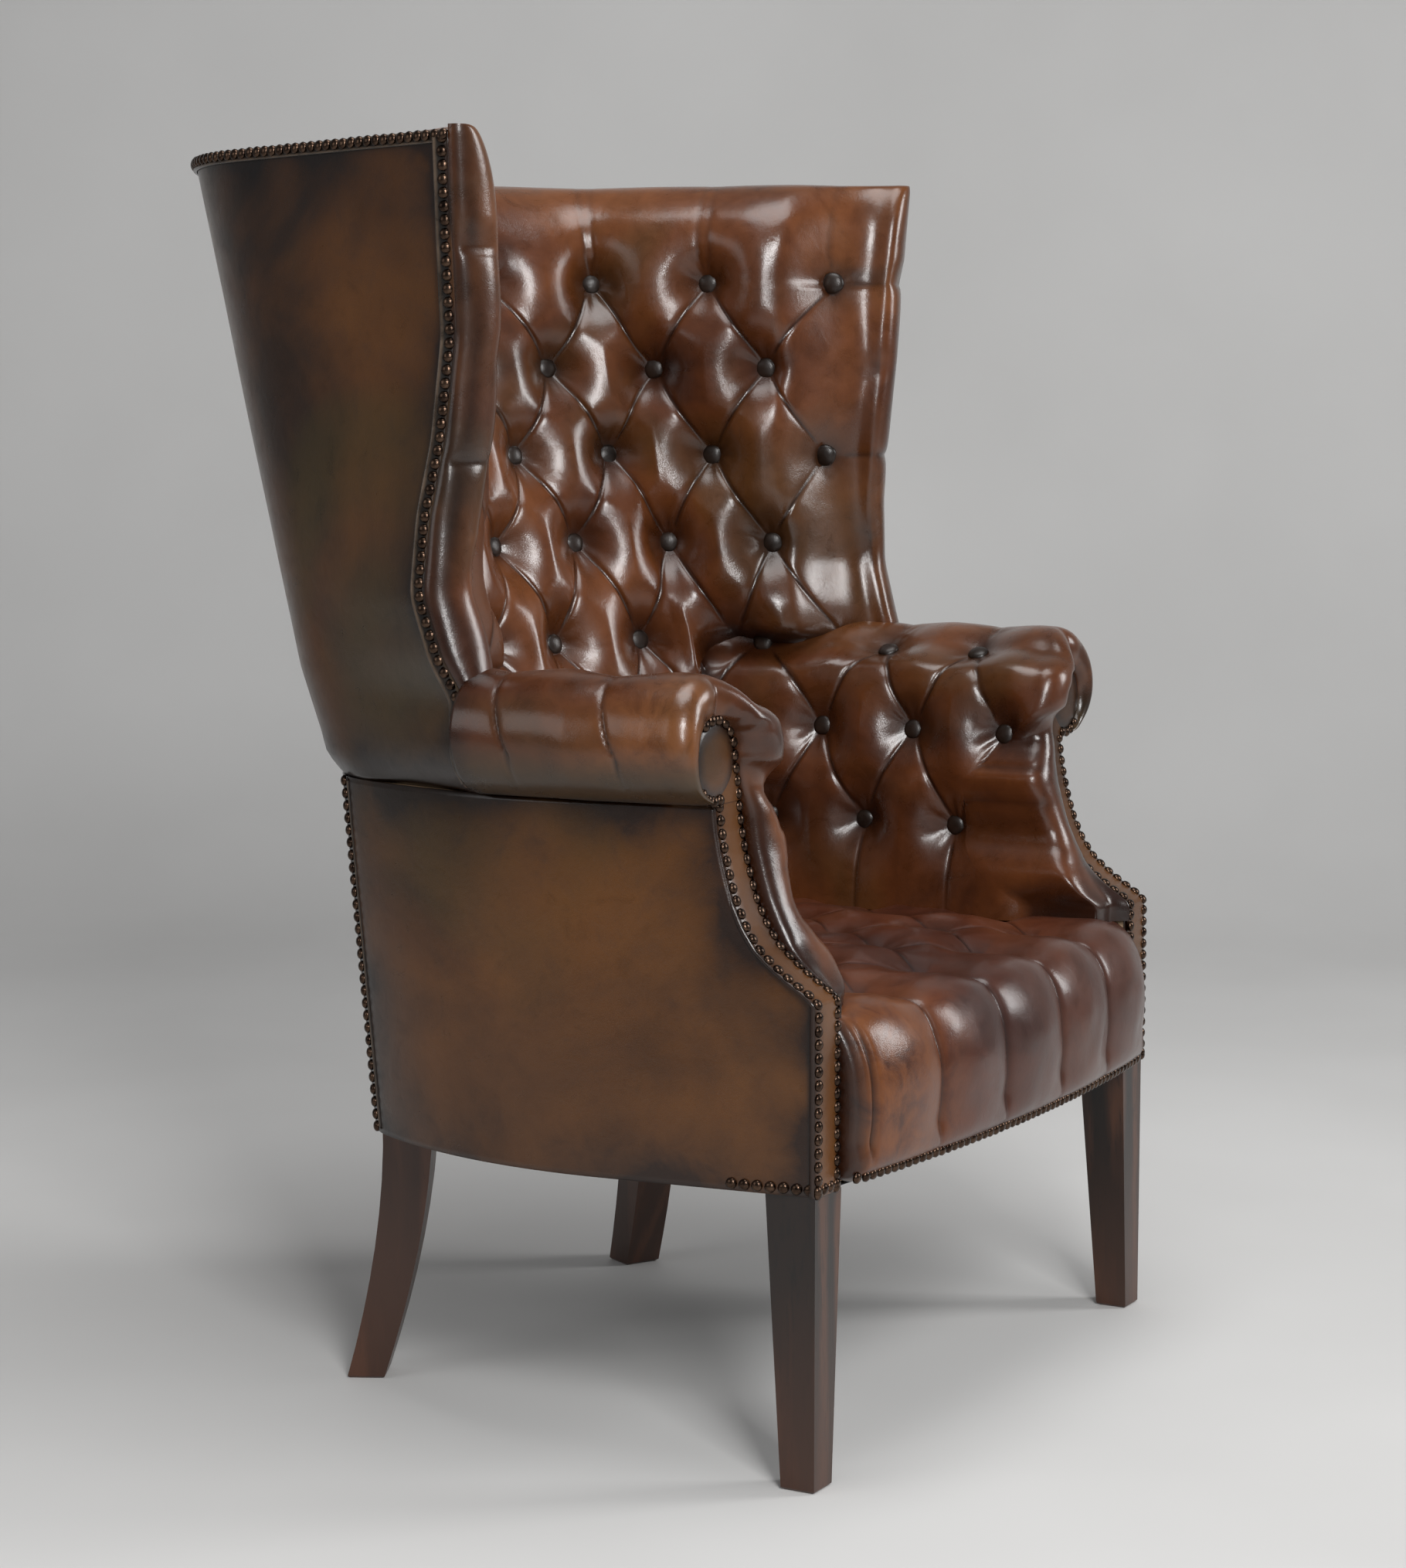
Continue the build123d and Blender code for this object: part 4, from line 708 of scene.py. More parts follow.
# Arms
BASE = inner_seat(SEAT_EDGE)
SEAM_RUN = SEAT_LEVEL_PITCH * 5
# Middle of the arm roll, its rise above and fall below
ROLL_MIDDLE, ROLL_RISE, ROLL_FALL = 614.0, 56.0, 52.0
# Where the arm starts to turn into the back, and its rearmost column
ARM_TURN, ARM_REAR = 301.0, 370.0
# Centre of the round head of the scroll, and the radius at which the arm leather meets it
SCROLL_X, SCROLL_Z, SCROLL_RADIUS = 352.0, 598.0, 33.0


def arm_base(y_wanted, z):
    """Inner side of the arm at places counted by depth y."""
    corner_y = BASE.place(BASE.marks[2])[1]
    x, y, _ = BASE.place(BASE.marks[2] + corner_y - y_wanted)
    sx, sy, _ = BASE.place(SEAM_RUN)
    tx, ty, _ = inner_seat(z).place(back_pitch(z) * 5)
    turned = ease(y_wanted, corner_y, 420.0)
    straight = 1 - ease(y_wanted, ARM_TURN, ARM_REAR)
    shoulder = 84 * looked_up(SHOULDER_F, ramp(z, SEAT_EDGE, ABOVE_ARMS)) * straight
    return x + turned * (tx - sx) + shoulder, y + turned * (ty - sy)


def arm_skin(side):
    step = 0.05
    v_in = np.arange(6.95, 3.84, -step)
    phi = np.radians(np.linspace(99, -82, 62))
    sections = [(row_height(v), None, v) for v in v_in]
    sections += [(ROLL_MIDDLE + (ROLL_RISE if p > 0 else ROLL_FALL) * math.sin(p), p, 3.8) for p in phi]
    n_end, n_front = 26, 30
    columns = np.arange(-1.15, 4.0001, step)
    base, fronts, u_rows, y_all_rows, olive = [], [], [], [], []
    for z, p, v in sections:
        w = ease(z, 548, 590) if p is None else 1.0
        back = mix(66 * (1 - ease(z, 500, 562)) + 24, 22.0, w)
        reach = ROLL_RISE if z > ROLL_MIDDLE else ROLL_FALL
        half = math.sqrt(max(0.0, 1 - ((z - ROLL_MIDDLE) / reach) ** 2))
        y_rolled = 62 + 26 * (1 - half)
        if p is not None:
            y_rolled += 19 * half * ease(math.cos(p), -0.2, 0.6)
        y_flat = arm_front(z)
        front_y = mix(y_flat, y_rolled, w)
        y_end = min(front_y + back, 156.0)
        y_ahead = mix(170.0, y_end, np.linspace(0, 1, n_end + 1)[1:])
        y_all = np.concatenate([ARM_REAR - ARM_COLUMN * columns, y_ahead])
        cx = mix(353.0, 366.0, ramp(y_all, 92, 192))
        if p is None:
            x, y = arm_base(y_all, z)
            x = mix(x, cx - 59 * half, ease(z, 640, 668) * (1 - ease(y_all, ARM_TURN, ARM_REAR)))
        else:
            x, y = cx + 59 * math.cos(p), y_all.copy()
            if math.cos(p) < 0:
                x0, _ = arm_base(y_all, z)
                x = mix(x, x0, ease(y_all, ARM_TURN, ARM_REAR) * min(1.0, -6 * math.cos(p)))
        base.append(at_height(x, y, z))
        fronts.append((w, front_y, y_flat))
        u_rows.append((ARM_REAR - y_all) / ARM_COLUMN)
        y_all_rows.append(y_all)
        low = 0.0 if p is None or math.cos(p) < 0 else ease(-math.degrees(p), -8, 42)
        olive.append(np.full(len(y_all) + n_front, 0.85 * low))
    base = np.array(base)
    du = np.gradient(base, axis=1)
    dv = np.gradient(base, axis=0)
    normal = np.cross(dv, du)
    normal /= np.linalg.norm(normal, axis=2)[:, :, None] + 1e-9
    if normal[5, 60, 0] > 0:
        normal = -normal
    verts, shade_and_patina = [], []
    for k, (z, p, v) in enumerate(sections):
        u = u_rows[k]
        vv = v if p is None else 3.8 - (k - len(v_in)) * 0.035
        g, cr = tufts(u, vv, ARM_COLUMN, ROW_PITCH, 4, 6, 5, seed=11 + side)
        # painted shade where the arm turns in against the back
        cr = np.maximum(cr, 0.9 * ease(-u, 0.25, 0.85))
        crest = ease(z, 618, 655) if p is None or math.cos(p) < 0.3 else 1.0
        front_fade = 1 - ease(u, 5.15, 5.85)
        if p is None:
            cr = cr * (0.25 + 0.75 * front_fade)
            g = mix(0.66, g, front_fade)
            d = 28 * (1 - crest) * g - 13 * crest * (1 - g)
            wob_u, wob_v = drift(u, vv, 71 + side)
            free = ramp(z, 400, 430) * ramp(4.6 - u, 0, 0.6) * ramp(u + 0.9, 0, 0.6)
        else:
            fade = ramp(math.degrees(p), 20, 95)
            slant = 0.46 * (1 - ramp(z, 600, 668))
            c = np.abs(np.sin(np.pi * (u - slant) / 2))
            mask = ((u > 1.2) & (u < 4.95)) * (ramp(z, 568, 596) if math.cos(p) > 0 else 1.0)
            outer = -(2.6 * np.exp(-c / 0.06) + 2.4 * (1 - c ** 0.5)) * mask
            d = mix(outer, -13 * (1 - g) * mix(0.45, 1.0, fade), fade)
            d = d + noise(u * 1.3, z / 40.0, 21) * max(math.cos(p), 0.0)
            cr = mix(0.85 * np.exp(-c / 0.05) * mask, cr, fade)
            # painted shade under the roll, down its lower outer side and at its rear end against the wing
            cr = np.maximum(cr, ease(-math.degrees(p), 52, 80) * 0.8)
            if math.cos(p) > 0:
                cr = np.maximum(cr, 0.45 * ease(-math.degrees(p), 5, 60))
                rear = 0.9 * ease(y_all_rows[k], 268, 302)
                cr = np.maximum(cr, rear * (0.8 + 0.2 * noise(u * 3, p * 4, 83)))
            free, wob_u, wob_v = 0.0, 0.0, 0.0
        pts = base[k] + normal[k] * np.asarray(d)[:, None]
        pts[:, 1] -= wob_u * ARM_COLUMN * free
        pts[:, 2] += wob_v * ROW_PITCH * free * (1 - crest)
        if p is not None and math.cos(p) > -0.5:
            panel = upper_shell(max(z, 600.0))
            run = np.array([panel.run_at(yy, WALL) if yy > 296 else 0.0 for yy in pts[:, 1]])
            px = np.where(pts[:, 1] > 296, panel.place(run, WALL)[0], 999.0)
            t = ease(pts[:, 1], 300, 307)
            pts[:, 0] = np.where(pts[:, 0] > px, mix(pts[:, 0], px, t), pts[:, 0])
        # rounded front: flush with the facing below, round the rim and into the scroll above
        w, front_y, y_flat = fronts[k]
        ax, ay, az = pts[-1]
        theta = np.linspace(0, 1, n_front + 1)[1:]
        psi = math.atan2(az - SCROLL_Z, ax - SCROLL_X)
        tx_r, tz_r = SCROLL_X + SCROLL_RADIUS * math.cos(psi), SCROLL_Z + 2 + SCROLL_RADIUS * math.sin(psi)
        q = theta * np.pi
        lateral = (1 - np.cos(q)) / 2
        front, rear = np.minimum(q, np.pi / 2), np.maximum(q - np.pi / 2, 0)
        yf = np.where(q <= np.pi / 2, front_y + (ay - front_y) * (1 - np.sin(front)),
                      front_y + (93.5 - front_y) * (1 - np.cos(rear)))
        gather = math.sin(15 * psi + 1.5 * math.sin(3 * psi))
        inward = ease(-math.cos(psi), -0.2, 0.4)
        ripple = 1.1 * gather * inward * ease(theta, 0.45, 0.7) * (1 - ramp(theta, 0.9, 1.0))
        rolled = np.stack([mix(ax, tx_r, lateral), yf + ripple, mix(az, tz_r, lateral)], axis=1)
        proud = 17.0 * ease(z, 404, 462)
        sunk = 1 - ease(z, SEAT_EDGE, 438)
        q2 = np.pi * ramp(theta, 0.30, 1.0)
        share = ramp(theta, 0, 0.30) ** 0.8
        near_x = ax + 14.0 * sunk
        middle = (near_x + 305.4) / 2
        flat_x = mix(ax, middle - (middle - near_x) * np.cos(q2), share)
        flat_y = ay + (y_flat + 5.0 - ay) * share - (proud + 5.0) * np.sin(q2) ** 0.75
        flat_y = flat_y - 5.0 * ease(theta, 0.7, 1.0)
        flat_y = flat_y + 14.0 * sunk * share * (1 - ease(theta, 0.70, 0.95))
        verts.append(np.concatenate([pts, mix(at_height(flat_x, flat_y, az), rolled, w)]))
        end_cr = cr[-1] * (1 - theta) + 0.8 * ease(theta, 0.78, 1.0)
        end_cr = np.maximum(end_cr, (1 - w) * 0.86 * ease(theta, 0.62, 0.80))
        # painted shade low down, where the front sinks into the seat
        end_cr = np.maximum(end_cr, sunk * 0.8)
        outer_rim = ease(theta, 0.25, 0.5) * w
        # painted shade: the rim of the scroll is darker on the side turned away from the key light, outward
        # on the left arm and inward on the right
        rim_away_shade = 0.75 * ease(math.cos(psi) * side, 0.1, 0.75)
        end_cr = np.maximum(end_cr, outer_rim * rim_away_shade * (0.75 + 0.25 * noise(theta * 4, psi * 3, 81)))
        # painted shade in the gathers
        end_cr = np.maximum(end_cr, w * 0.55 * max(0.0, gather) * ease(theta, 0.5, 0.7))
        shade_and_patina.append(np.concatenate([cr, np.clip(end_cr, 0, 1)]))
    verts = np.array(verts)
    n_rows, n_cols = verts.shape[:2]
    u_all = np.array([np.concatenate([u, np.full(n_front, 9.0)]) for u in u_rows])
    v_all = np.array([s[2] for s in sections])[:, None] * np.ones((1, n_cols))
    faces = grid_faces(n_rows, n_cols, pleat_lean(u_all, v_all))
    flat = verts.reshape(-1, 3).copy()
    flat[:, 0] *= side
    if side > 0:
        faces = flipped(faces)
    near_end = 1 - ease(flat[:, 1], 110, 175)
    near_end = near_end * ease(flat[:, 2], 590, 612) * ease(abs(flat[:, 0]), 352, 392)
    paler = np.maximum(0.25 * ease(flat[:, 2], 655, 672), 0.55 * near_end)
    obj = piece("arm_leather_" + SIDE[side], flat, faces, "inner",
                {"shade_and_patina": np.array(shade_and_patina).ravel(), "paler": paler, "olive": np.array(olive).ravel()})
    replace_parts(obj, "inside_arm_" + SIDE[side])


# Seat
SEAT_FIRST_ROW = 45.0


def seat_skin():
    xs = np.concatenate([[-303.0, -301.5], np.arange(-300.0, 300.1, 3.0), [301.5, 303.0]])
    # share of the height of the front, share of its swell
    shares = ((0, 0), (.03, .45), (.10, .78), (.25, .92), (.42, 1.0), (.62, .95), (.79, .72), (.91, .34),
              (.98, -.10))
    n_front, n_top = 64, 126
    columns, creases = [], []
    outline = lower_shell(314)
    for x in xs:
        corner = 10 * (1 - math.sqrt(max(0.0, 1 - ramp(abs(x), 291, 303) ** 2)))
        bow = 20 * (x / 310) ** 2
        pts = [(bow - 20 - 30 * b + corner, 251.5 + (SEAT_EDGE - 251.5) * h) for h, b in shares]
        pts += [(bow - 20 + 22, 397.0), (bow + 12, 396.5), (SEAT_FIRST_ROW, SEAT_EDGE)]
        front = resample(chaikin(pts, 3), n_front)
        low, _ = halved(0.0, outline.marks[3], lambda run: outline.place(run, WALL)[0] < abs(x), 30)
        rear = outline.place(low, WALL)[1]
        ys = np.minimum(SEAT_FIRST_ROW + 3.75 * np.arange(n_top), rear)
        c = abs(math.sin(math.pi * (x / SEAT_COLUMN + 1) / 2))
        n = np.gradient(front, axis=0)
        n /= np.linalg.norm(n, axis=1)[:, None]
        down = ease(front[:, 1], 253, 290) * (1 - 0.4 * ease(front[:, 0], -18, 45))
        fold = math.exp(-((abs(x) - 288.5) / 2.4) ** 2)
        fold = fold * ease(front[:, 1], 262, 285) * (1 - ramp(front[:, 1], 372, 392))
        depth = 3.0 * math.exp(-c / 0.07) * ramp(abs(x), 304, 290) + 10 * (1 - c ** 0.75)
        depth = depth * np.maximum(down, 0.6 * (front[:, 1] > 385)) + 5.5 * fold
        extra = noise(x / 26.0, front[:, 1] / 30.0, 31)
        fx = front[:, 0] + n[:, 1] * (depth - extra * down)
        fz = front[:, 1] - n[:, 0] * (depth - extra * down)
        row = (ys - SEAT_FIRST_ROW) / SEAT_ROW
        g, cr = tufts(x / SEAT_COLUMN + 1.0, row, SEAT_COLUMN, SEAT_ROW, 0, 5, 30, seed=17)
        crown = 9 * (1 - ease(abs(x), 151, 227))
        folds = 1.6 * noise(x / 34.0, ys / 20.0, 33) * ease(ys, 50, 110)
        z = SEAT_EDGE + 15 * (g - 1) + folds + crown * ease(ys, 45, 120)
        z = mix(z, SEAT_EDGE, ease(abs(x) / 303, 0.93, 1))
        fz = fz + (z[0] - fz[-1]) * ease(front[:, 0], -25, 45)
        columns.append(np.concatenate([np.stack([np.full(n_front, x), fx, fz], 1),
                                       np.stack([np.full(n_top - 1, x), ys[1:], z[1:]], 1)]))
        # painted shade in the pleats between the flutes, along the tucked bottom, in the folds by the arms
        # and at the sides against the facings
        cf = 0.9 * math.exp(-c / 0.055) * np.maximum(down, front[:, 1] > 385) * (abs(x) < 290)
        cf = np.maximum(cf, 0.75 * (1 - ease(front[:, 1], 251, 266)))
        cf = np.maximum(cf, np.maximum(fold, 0.85 * ease(abs(x), 290, 302)))
        # painted shade on the top where it meets the arms
        cr = np.maximum(cr, 0.7 * ease(abs(x), 268, 296) * (ys > 20))
        creases.append(np.concatenate([cf, cr[1:]]))
    # the sides turn back beside the arm fronts
    for which in (0, -1):
        last = columns[which].copy()
        extra_cols = []
        for e in (0.2, 0.5, 1.0):
            side = last.copy()
            side[:, 0] += (1.2 if which == -1 else -1.2) * min(1.0, 3 * e)
            side[:, 1] = mix(last[:, 1], np.maximum(last[:, 1], 9.0), e)
            side[:, 2] -= 2.0 * e * (last[:, 1] > 9)
            extra_cols.append(side)
        # painted shade on the sides turned back beside the arm fronts
        extra_cr = [np.full(len(last), 0.9)] * len(extra_cols)
        if which == -1:
            columns, creases = columns + extra_cols, creases + extra_cr
        else:
            columns, creases = extra_cols[::-1] + columns, extra_cr + creases
    verts = np.array(columns)
    n_rows, n_cols = verts.shape[:2]
    um = (verts[:-1, :-1, 0] + verts[1:, 1:, 0]) / 120 + 1.0
    vm = (verts[:-1, :-1, 1] + verts[1:, 1:, 1] - 90) / 150
    lean = (np.floor(um) + np.floor(vm)) % 2 == 1
    faces = grid_faces(n_rows, n_cols, lean)
    flat = verts.reshape(-1, 3)
    front_zone = 1 - ease(flat[:, 1], 10, 60)
    # painted light: the lit near front corner turns paler and orange
    paler = 0.85 * ease(-flat[:, 0], 110, 250) * front_zone
    # painted shade in the fold beside the near arm, and a painted reflection, the purplish sheen, on the far
    # flutes, both in the seat's fifth colour
    olive = 0.8 * ease(-flat[:, 0], 284, 296) * front_zone
    olive = np.maximum(olive, 0.55 * ease(flat[:, 0], -150, 40) * front_zone)
    obj = piece("seat_leather", flat, faces, "seat",
                {"shade_and_patina": np.concatenate(creases), "paler": paler, "olive": olive})
    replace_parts(obj, "seat_cover")


# Smooth outer leather
def shell_sheet(heights, outline_at, limits_at, count, waves, seeds, shade, side=1):
    """Level rows of the front and the back of a sheet on the shell, and how dark it is near its edges."""
    size, along, up = waves
    low, high = heights[0], heights[-1]
    outer, inner, dark = [], [], []
    for z in heights:
        line = outline_at(z)
        start, end = limits_at(line, z)
        run = np.linspace(start, end, count)
        still = np.minimum(ramp(run - start, 0, 30), ramp(end - run, 0, 30))
        still = still * min(1.0, (high - z) / 25.0, (z - low) / 25.0)
        wobble = size * noise(run / along, z / up, seeds[0])
        for rows, inset in ((outer, -wobble * still), (inner, HIDE)):
            x, y, _ = line.place(run, inset)
            rows.append(at_height(side * x, y, z))
        edge = np.maximum(np.minimum(np.minimum(run - start, end - run), min(high - z, z - low)), 0)
        dark.append(0.85 * np.exp(-edge / shade) * (0.8 + 0.5 * noise(run / 42.0, z / 42.0, seeds[1])))
    return outer, inner, np.array(dark)


def sheet_piece(name, outer, inner, dark, turned, rim_turned, node):
    verts = np.concatenate([np.array(outer).reshape(-1, 3), np.array(inner).reshape(-1, 3)])
    faces = sheet_faces(len(outer), len(outer[0]), turned, rim_turned)
    obj = piece(name, verts, faces, "outer",
                {"shade_and_patina": np.concatenate([dark.ravel()] * 2), "paler": np.zeros(len(verts))})
    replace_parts(obj, node)
    return obj


def back_leather(name, heights, outline_at, limits_at, count, node, seed):
    """A sheet round the back."""
    waves, seeds = (0.6, 95.0, 110.0), (seed, seed + 3)
    outer, inner, dark = shell_sheet(heights, outline_at, limits_at, count, waves, seeds, 38)
    obj = sheet_piece(name, outer, inner, dark, True, False, node)


def rear_corner(line):
    return (line.marks[1] + line.marks[2]) / 2


def outer_leather():
    heights = [562.4] + list(np.arange(566, 1100, 8.0)) + [SHELL_TOP]
    back_leather("outer_back_leather", heights, upper_shell, lambda line, z: (-line.length, line.length), 260,
                 "outer_back_panel", 41)
    back_leather("lower_back_leather", np.linspace(LEG_TOP, ARM_SEAM, 40), lower_shell,
                 lambda line, z: (-rear_corner(line) + 0.4, rear_corner(line) - 0.4), 110,
                 "lower_back_panel", 42)


def side_leather(side):
    """Outside of an arm."""
    heights = np.linspace(LEG_TOP, ARM_SEAM, 64)
    outer, inner, dark = shell_sheet(
        heights, lower_shell, lambda line, z: (rear_corner(line), line.run_at(arm_front(z) + 1.3)), 90,
        (0.7, 85.0, 100.0), (50 + side, 53), 36, side)
    node = "side_panel_" + SIDE[side]
    obj = sheet_piece("side_leather_" + SIDE[side], outer, inner, dark, side > 0, side < 0, node)


def facing_piece(side):
    """Leather strip up the arm front, ending in the round head of the scroll."""
    zs = np.concatenate([np.linspace(LEG_TOP, 404, 24), np.linspace(405, 566, 70)])
    across = np.linspace(0, 1, 13)
    rows, cr = [], []
    for z in zs:
        crown = 2.2 * (1 - (2 * across - 1) ** 4)
        rows.append(at_height(side * mix(305.0, 348.3, across), arm_front(min(z, ARM_SEAM)) + 1.2 - crown, z))
        cr.append(0.70 * np.exp(-np.minimum(across, 1 - across) * 43 / 7.0))
    back = [r + np.array([0, HIDE, 0]) for r in rows]
    verts = list(np.array(rows).reshape(-1, 3)) + list(np.array(back).reshape(-1, 3))
    faces = sheet_faces(len(rows), len(across), side < 0, False)
    shade_and_patina = list(np.array(cr).ravel()) * 2
    # head of the scroll
    start = len(verts)
    rings_r = [(35.6, 95.5), (35.6, 93.0), (34.0, 91.0), (28.0, 89.4), (18.0, 88.6), (8.0, 88.2)]
    for r, y in rings_r:
        for k in range(48):
            t = 2 * math.pi * k / 48
            verts.append(np.array([side * (SCROLL_X + r * math.cos(t)), y, SCROLL_Z + r * math.sin(t)]))
            # painted shade round the rim of the head, where the arm leather meets it
            shade_and_patina.append(0.9 if r > 33 else 0.55 if r > 27 else 0.15)
    verts.append(np.array([side * SCROLL_X, 88.1, SCROLL_Z]))
    shade_and_patina.append(0.15)
    head = dome_faces(start, len(rings_r), 48)[:-1]
    faces += head if side > 0 else flipped(head)
    # the strip runs on into the scroll
    first = len(verts)
    for z in np.linspace(563, 604, 14):
        left = mix(305.6, 322.0, ramp(z, 563, 604) ** 1.8)
        for t in np.linspace(0, 1, 7):
            verts.append(np.array([side * mix(left, 356.0, t), 91.0 - 1.6 * (1 - (2 * t - 1) ** 2), z]))
            shade_and_patina.append(0.7 * math.exp(-t * (356 - left) / 7.0))
    extra = (np.array(grid_faces(14, 7)) + first).tolist()
    faces += flipped(extra) if side < 0 else extra
    obj = piece("arm_facing_" + SIDE[side], verts, faces, "outer",
                {"shade_and_patina": shade_and_patina, "paler": np.zeros(len(verts))})
    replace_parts(obj, "facing_" + SIDE[side])


# Nails, strips and buttons
NAIL_PITCH, NAIL_RADIUS, NAIL_HEIGHT, NAIL_SIDES = 11.0, 4.9, 3.0, 12
# share of the radius, share of the height
NAIL_SHAPE = ((1.0, -0.35), (1.0, 0.10), (0.90, 0.42), (0.66, 0.76), (0.34, 0.95))


def frames_along(points, normals, pitch):
    """Places at an even pitch along a line, and the normals there."""
    p, n = np.asarray(points, float), np.asarray(normals, float)
    s = arc_length(p)
    t = np.linspace(0, s[-1], max(2, int(round(s[-1] / pitch)) + 1))
    m = at_lengths(t, s, n)
    return at_lengths(t, s, p), m / np.linalg.norm(m, axis=1)[:, None]


def across_axes(normal):
    helper = np.array([0.0, 0.0, 1.0]) if abs(normal[2]) < 0.9 else np.array([1.0, 0.0, 0.0])
    a = unit(np.cross(helper, normal))
    return a, np.cross(normal, a)


def dome_faces(start, rings, sides):
    """Faces of a dome of rings and a last point: its wall, its crown and its flat underside."""
    faces = []
    for j in range(rings - 1):
        for i in range(sides):
            c, d = start + j * sides + i, start + j * sides + (i + 1) % sides
            faces.append([c, d, d + sides, c + sides])
    base, top = start + (rings - 1) * sides, start + rings * sides
    faces += [[base + i, base + (i + 1) % sides, top] for i in range(sides)]
    return faces + [[start + i for i in range(sides)][::-1]]


def nail_row(name, runs):
    """Domed nails set side by side along lines, in one mesh; runs is a list of (points, normals)."""
    verts, faces = [], []
    nails = [nail for points, normals in runs for nail in zip(*frames_along(points, normals, NAIL_PITCH))]
    for number, (centre, normal) in enumerate(nails):
        lean_a, lean_b, shift = [hashed(number, k, 4) - 0.5 for k in (1.0, 2.0, 3.0)]
        a, b = across_axes(normal)
        normal = unit(normal + 0.10 * lean_a * a + 0.10 * lean_b * b)
        centre = centre + 0.5 * shift * a + 0.4 * lean_a * b
        faces += dome_faces(len(verts), len(NAIL_SHAPE), NAIL_SIDES)
        for r, h in NAIL_SHAPE:
            for i in range(NAIL_SIDES):
                t = 2 * math.pi * i / NAIL_SIDES
                around = math.cos(t) * a + math.sin(t) * b
                verts.append(centre + NAIL_RADIUS * r * around + NAIL_HEIGHT * h * normal)
        verts.append(centre + NAIL_HEIGHT * normal)
    piece(name, verts, faces, "bronze")


def strip_piece(name, points, normals, width):
    """A narrow leather banding under the nails, with turned edges standing proud."""
    thickness = 1.2
    p, n = frames_along(points, normals, 5.0)
    tangent = np.gradient(p, axis=0)
    tangent /= np.linalg.norm(tangent, axis=1)[:, None]
    half = [(-.5, -1.6), (-.5, .2), (-.46, .9), (-.38, 1.0), (-.25, .65)]
    shape = half + [(0, .5)] + [(-u, h) for u, h in half[::-1]]
    verts, paler, shade_and_patina = [], [], []
    for c, m, a in zip(p, n, np.cross(n, tangent)):
        for u, h in shape:
            verts.append(c + a * u * width + m * h * thickness)
            # painted highlight along the proud turned edges; painted shade down the middle, under the nails
            paler.append(0.9 if abs(u) > 0.36 and h > 0.8 else 0.0)
            shade_and_patina.append(0.5 if abs(u) < 0.3 else 0.1)
    faces = grid_faces(len(p), len(shape))
    piece(name, verts, faces, "trim", {"paler": paler, "shade_and_patina": shade_and_patina})


def wing_strip(side):
    pts, nrm = [], []
    for z in np.linspace(572, 1100, 90):
        line = upper_shell(z)
        x, y, a = line.place(line.length - 6.5, -0.3)
        out = np.array([side * math.sin(a), math.cos(a), 0.0])
        ahead = np.array([side * math.cos(a), -math.sin(a), 0.0])
        pts.append(np.array([side * x, y, z]))
        nrm.append(unit(out * 0.80 + ahead * 0.60))
    strip_piece("wing_banding_" + SIDE[side], pts, nrm, 17.0)
    nail_row("wing_nails_" + SIDE[side], [([p + 1.3 * n for p, n in zip(pts, nrm)], nrm)])


def top_strip():
    line = upper_shell(SHELL_TOP)
    runs = np.linspace(-line.length + 4, line.length - 4, 240)
    x, y, a = line.place(runs, -0.4)
    side = np.where(runs < 0, -1, 1)
    pts = at_height(x, y, 1101.2)
    nrm = at_height(side * np.sin(a), np.cos(a), 0.16)
    strip_piece("top_banding", pts, nrm, 10.5)
    nail_row("top_nails", [(pts + 1.2 * nrm + np.array([0.0, 0.0, 1.2]), nrm)])


def corner_nails():
    rows = []
    for side in (-1, 1):
        pts, nrm = [], []
        for z in np.linspace(252, 558, 60):
            line = lower_shell(z)
            x, y, a = line.place(rear_corner(line), -0.6)
            pts.append([side * x, y, z])
            nrm.append([side * math.sin(a), math.cos(a), 0.0])
        rows.append((np.array(pts), np.array(nrm)))
    nail_row("rear_corner_nails", [(p + 1.2 * n, n) for p, n in rows])
    for side, (p, n) in zip((-1, 1), rows):
        strip_piece("rear_corner_banding_" + SIDE[side], p - 0.5 * n, n, 15.0)


def facing_nails(side):
    """Outer row, inner row that runs on round the scroll, and the curl under the scroll."""
    ahead = np.array([0.0, -1.0, 0.0])
    rows = []
    for x in (342.5, 310.5):
        pts, nrm = [], []
        for z in np.linspace(250, 560, 130):
            n = unit([0.0, -1.0, (arm_front(z + 2) - arm_front(z - 2)) / 4])
            pts.append(np.array([side * x, arm_front(z), z]) + 0.6 * n)
            nrm.append(n)
        rows.append((pts, nrm))
    for t in np.radians(np.linspace(182, 60, 30)):
        x, z = SCROLL_X + 32.0 * math.cos(t), SCROLL_Z + 2 + 32.0 * math.sin(t)
        pts.append(np.array([side * x, 89.5, z]))
        nrm.append(ahead)
    curl_places = ((345.0, 566.0), (354.0, 565.0), (364.0, 567.5), (373.0, 573.0))
    curl = [np.array([side * x, 89.0, z]) for x, z in curl_places]
    rows.append((curl, [ahead] * len(curl)))
    nail_row("facing_nails_" + SIDE[side], rows)


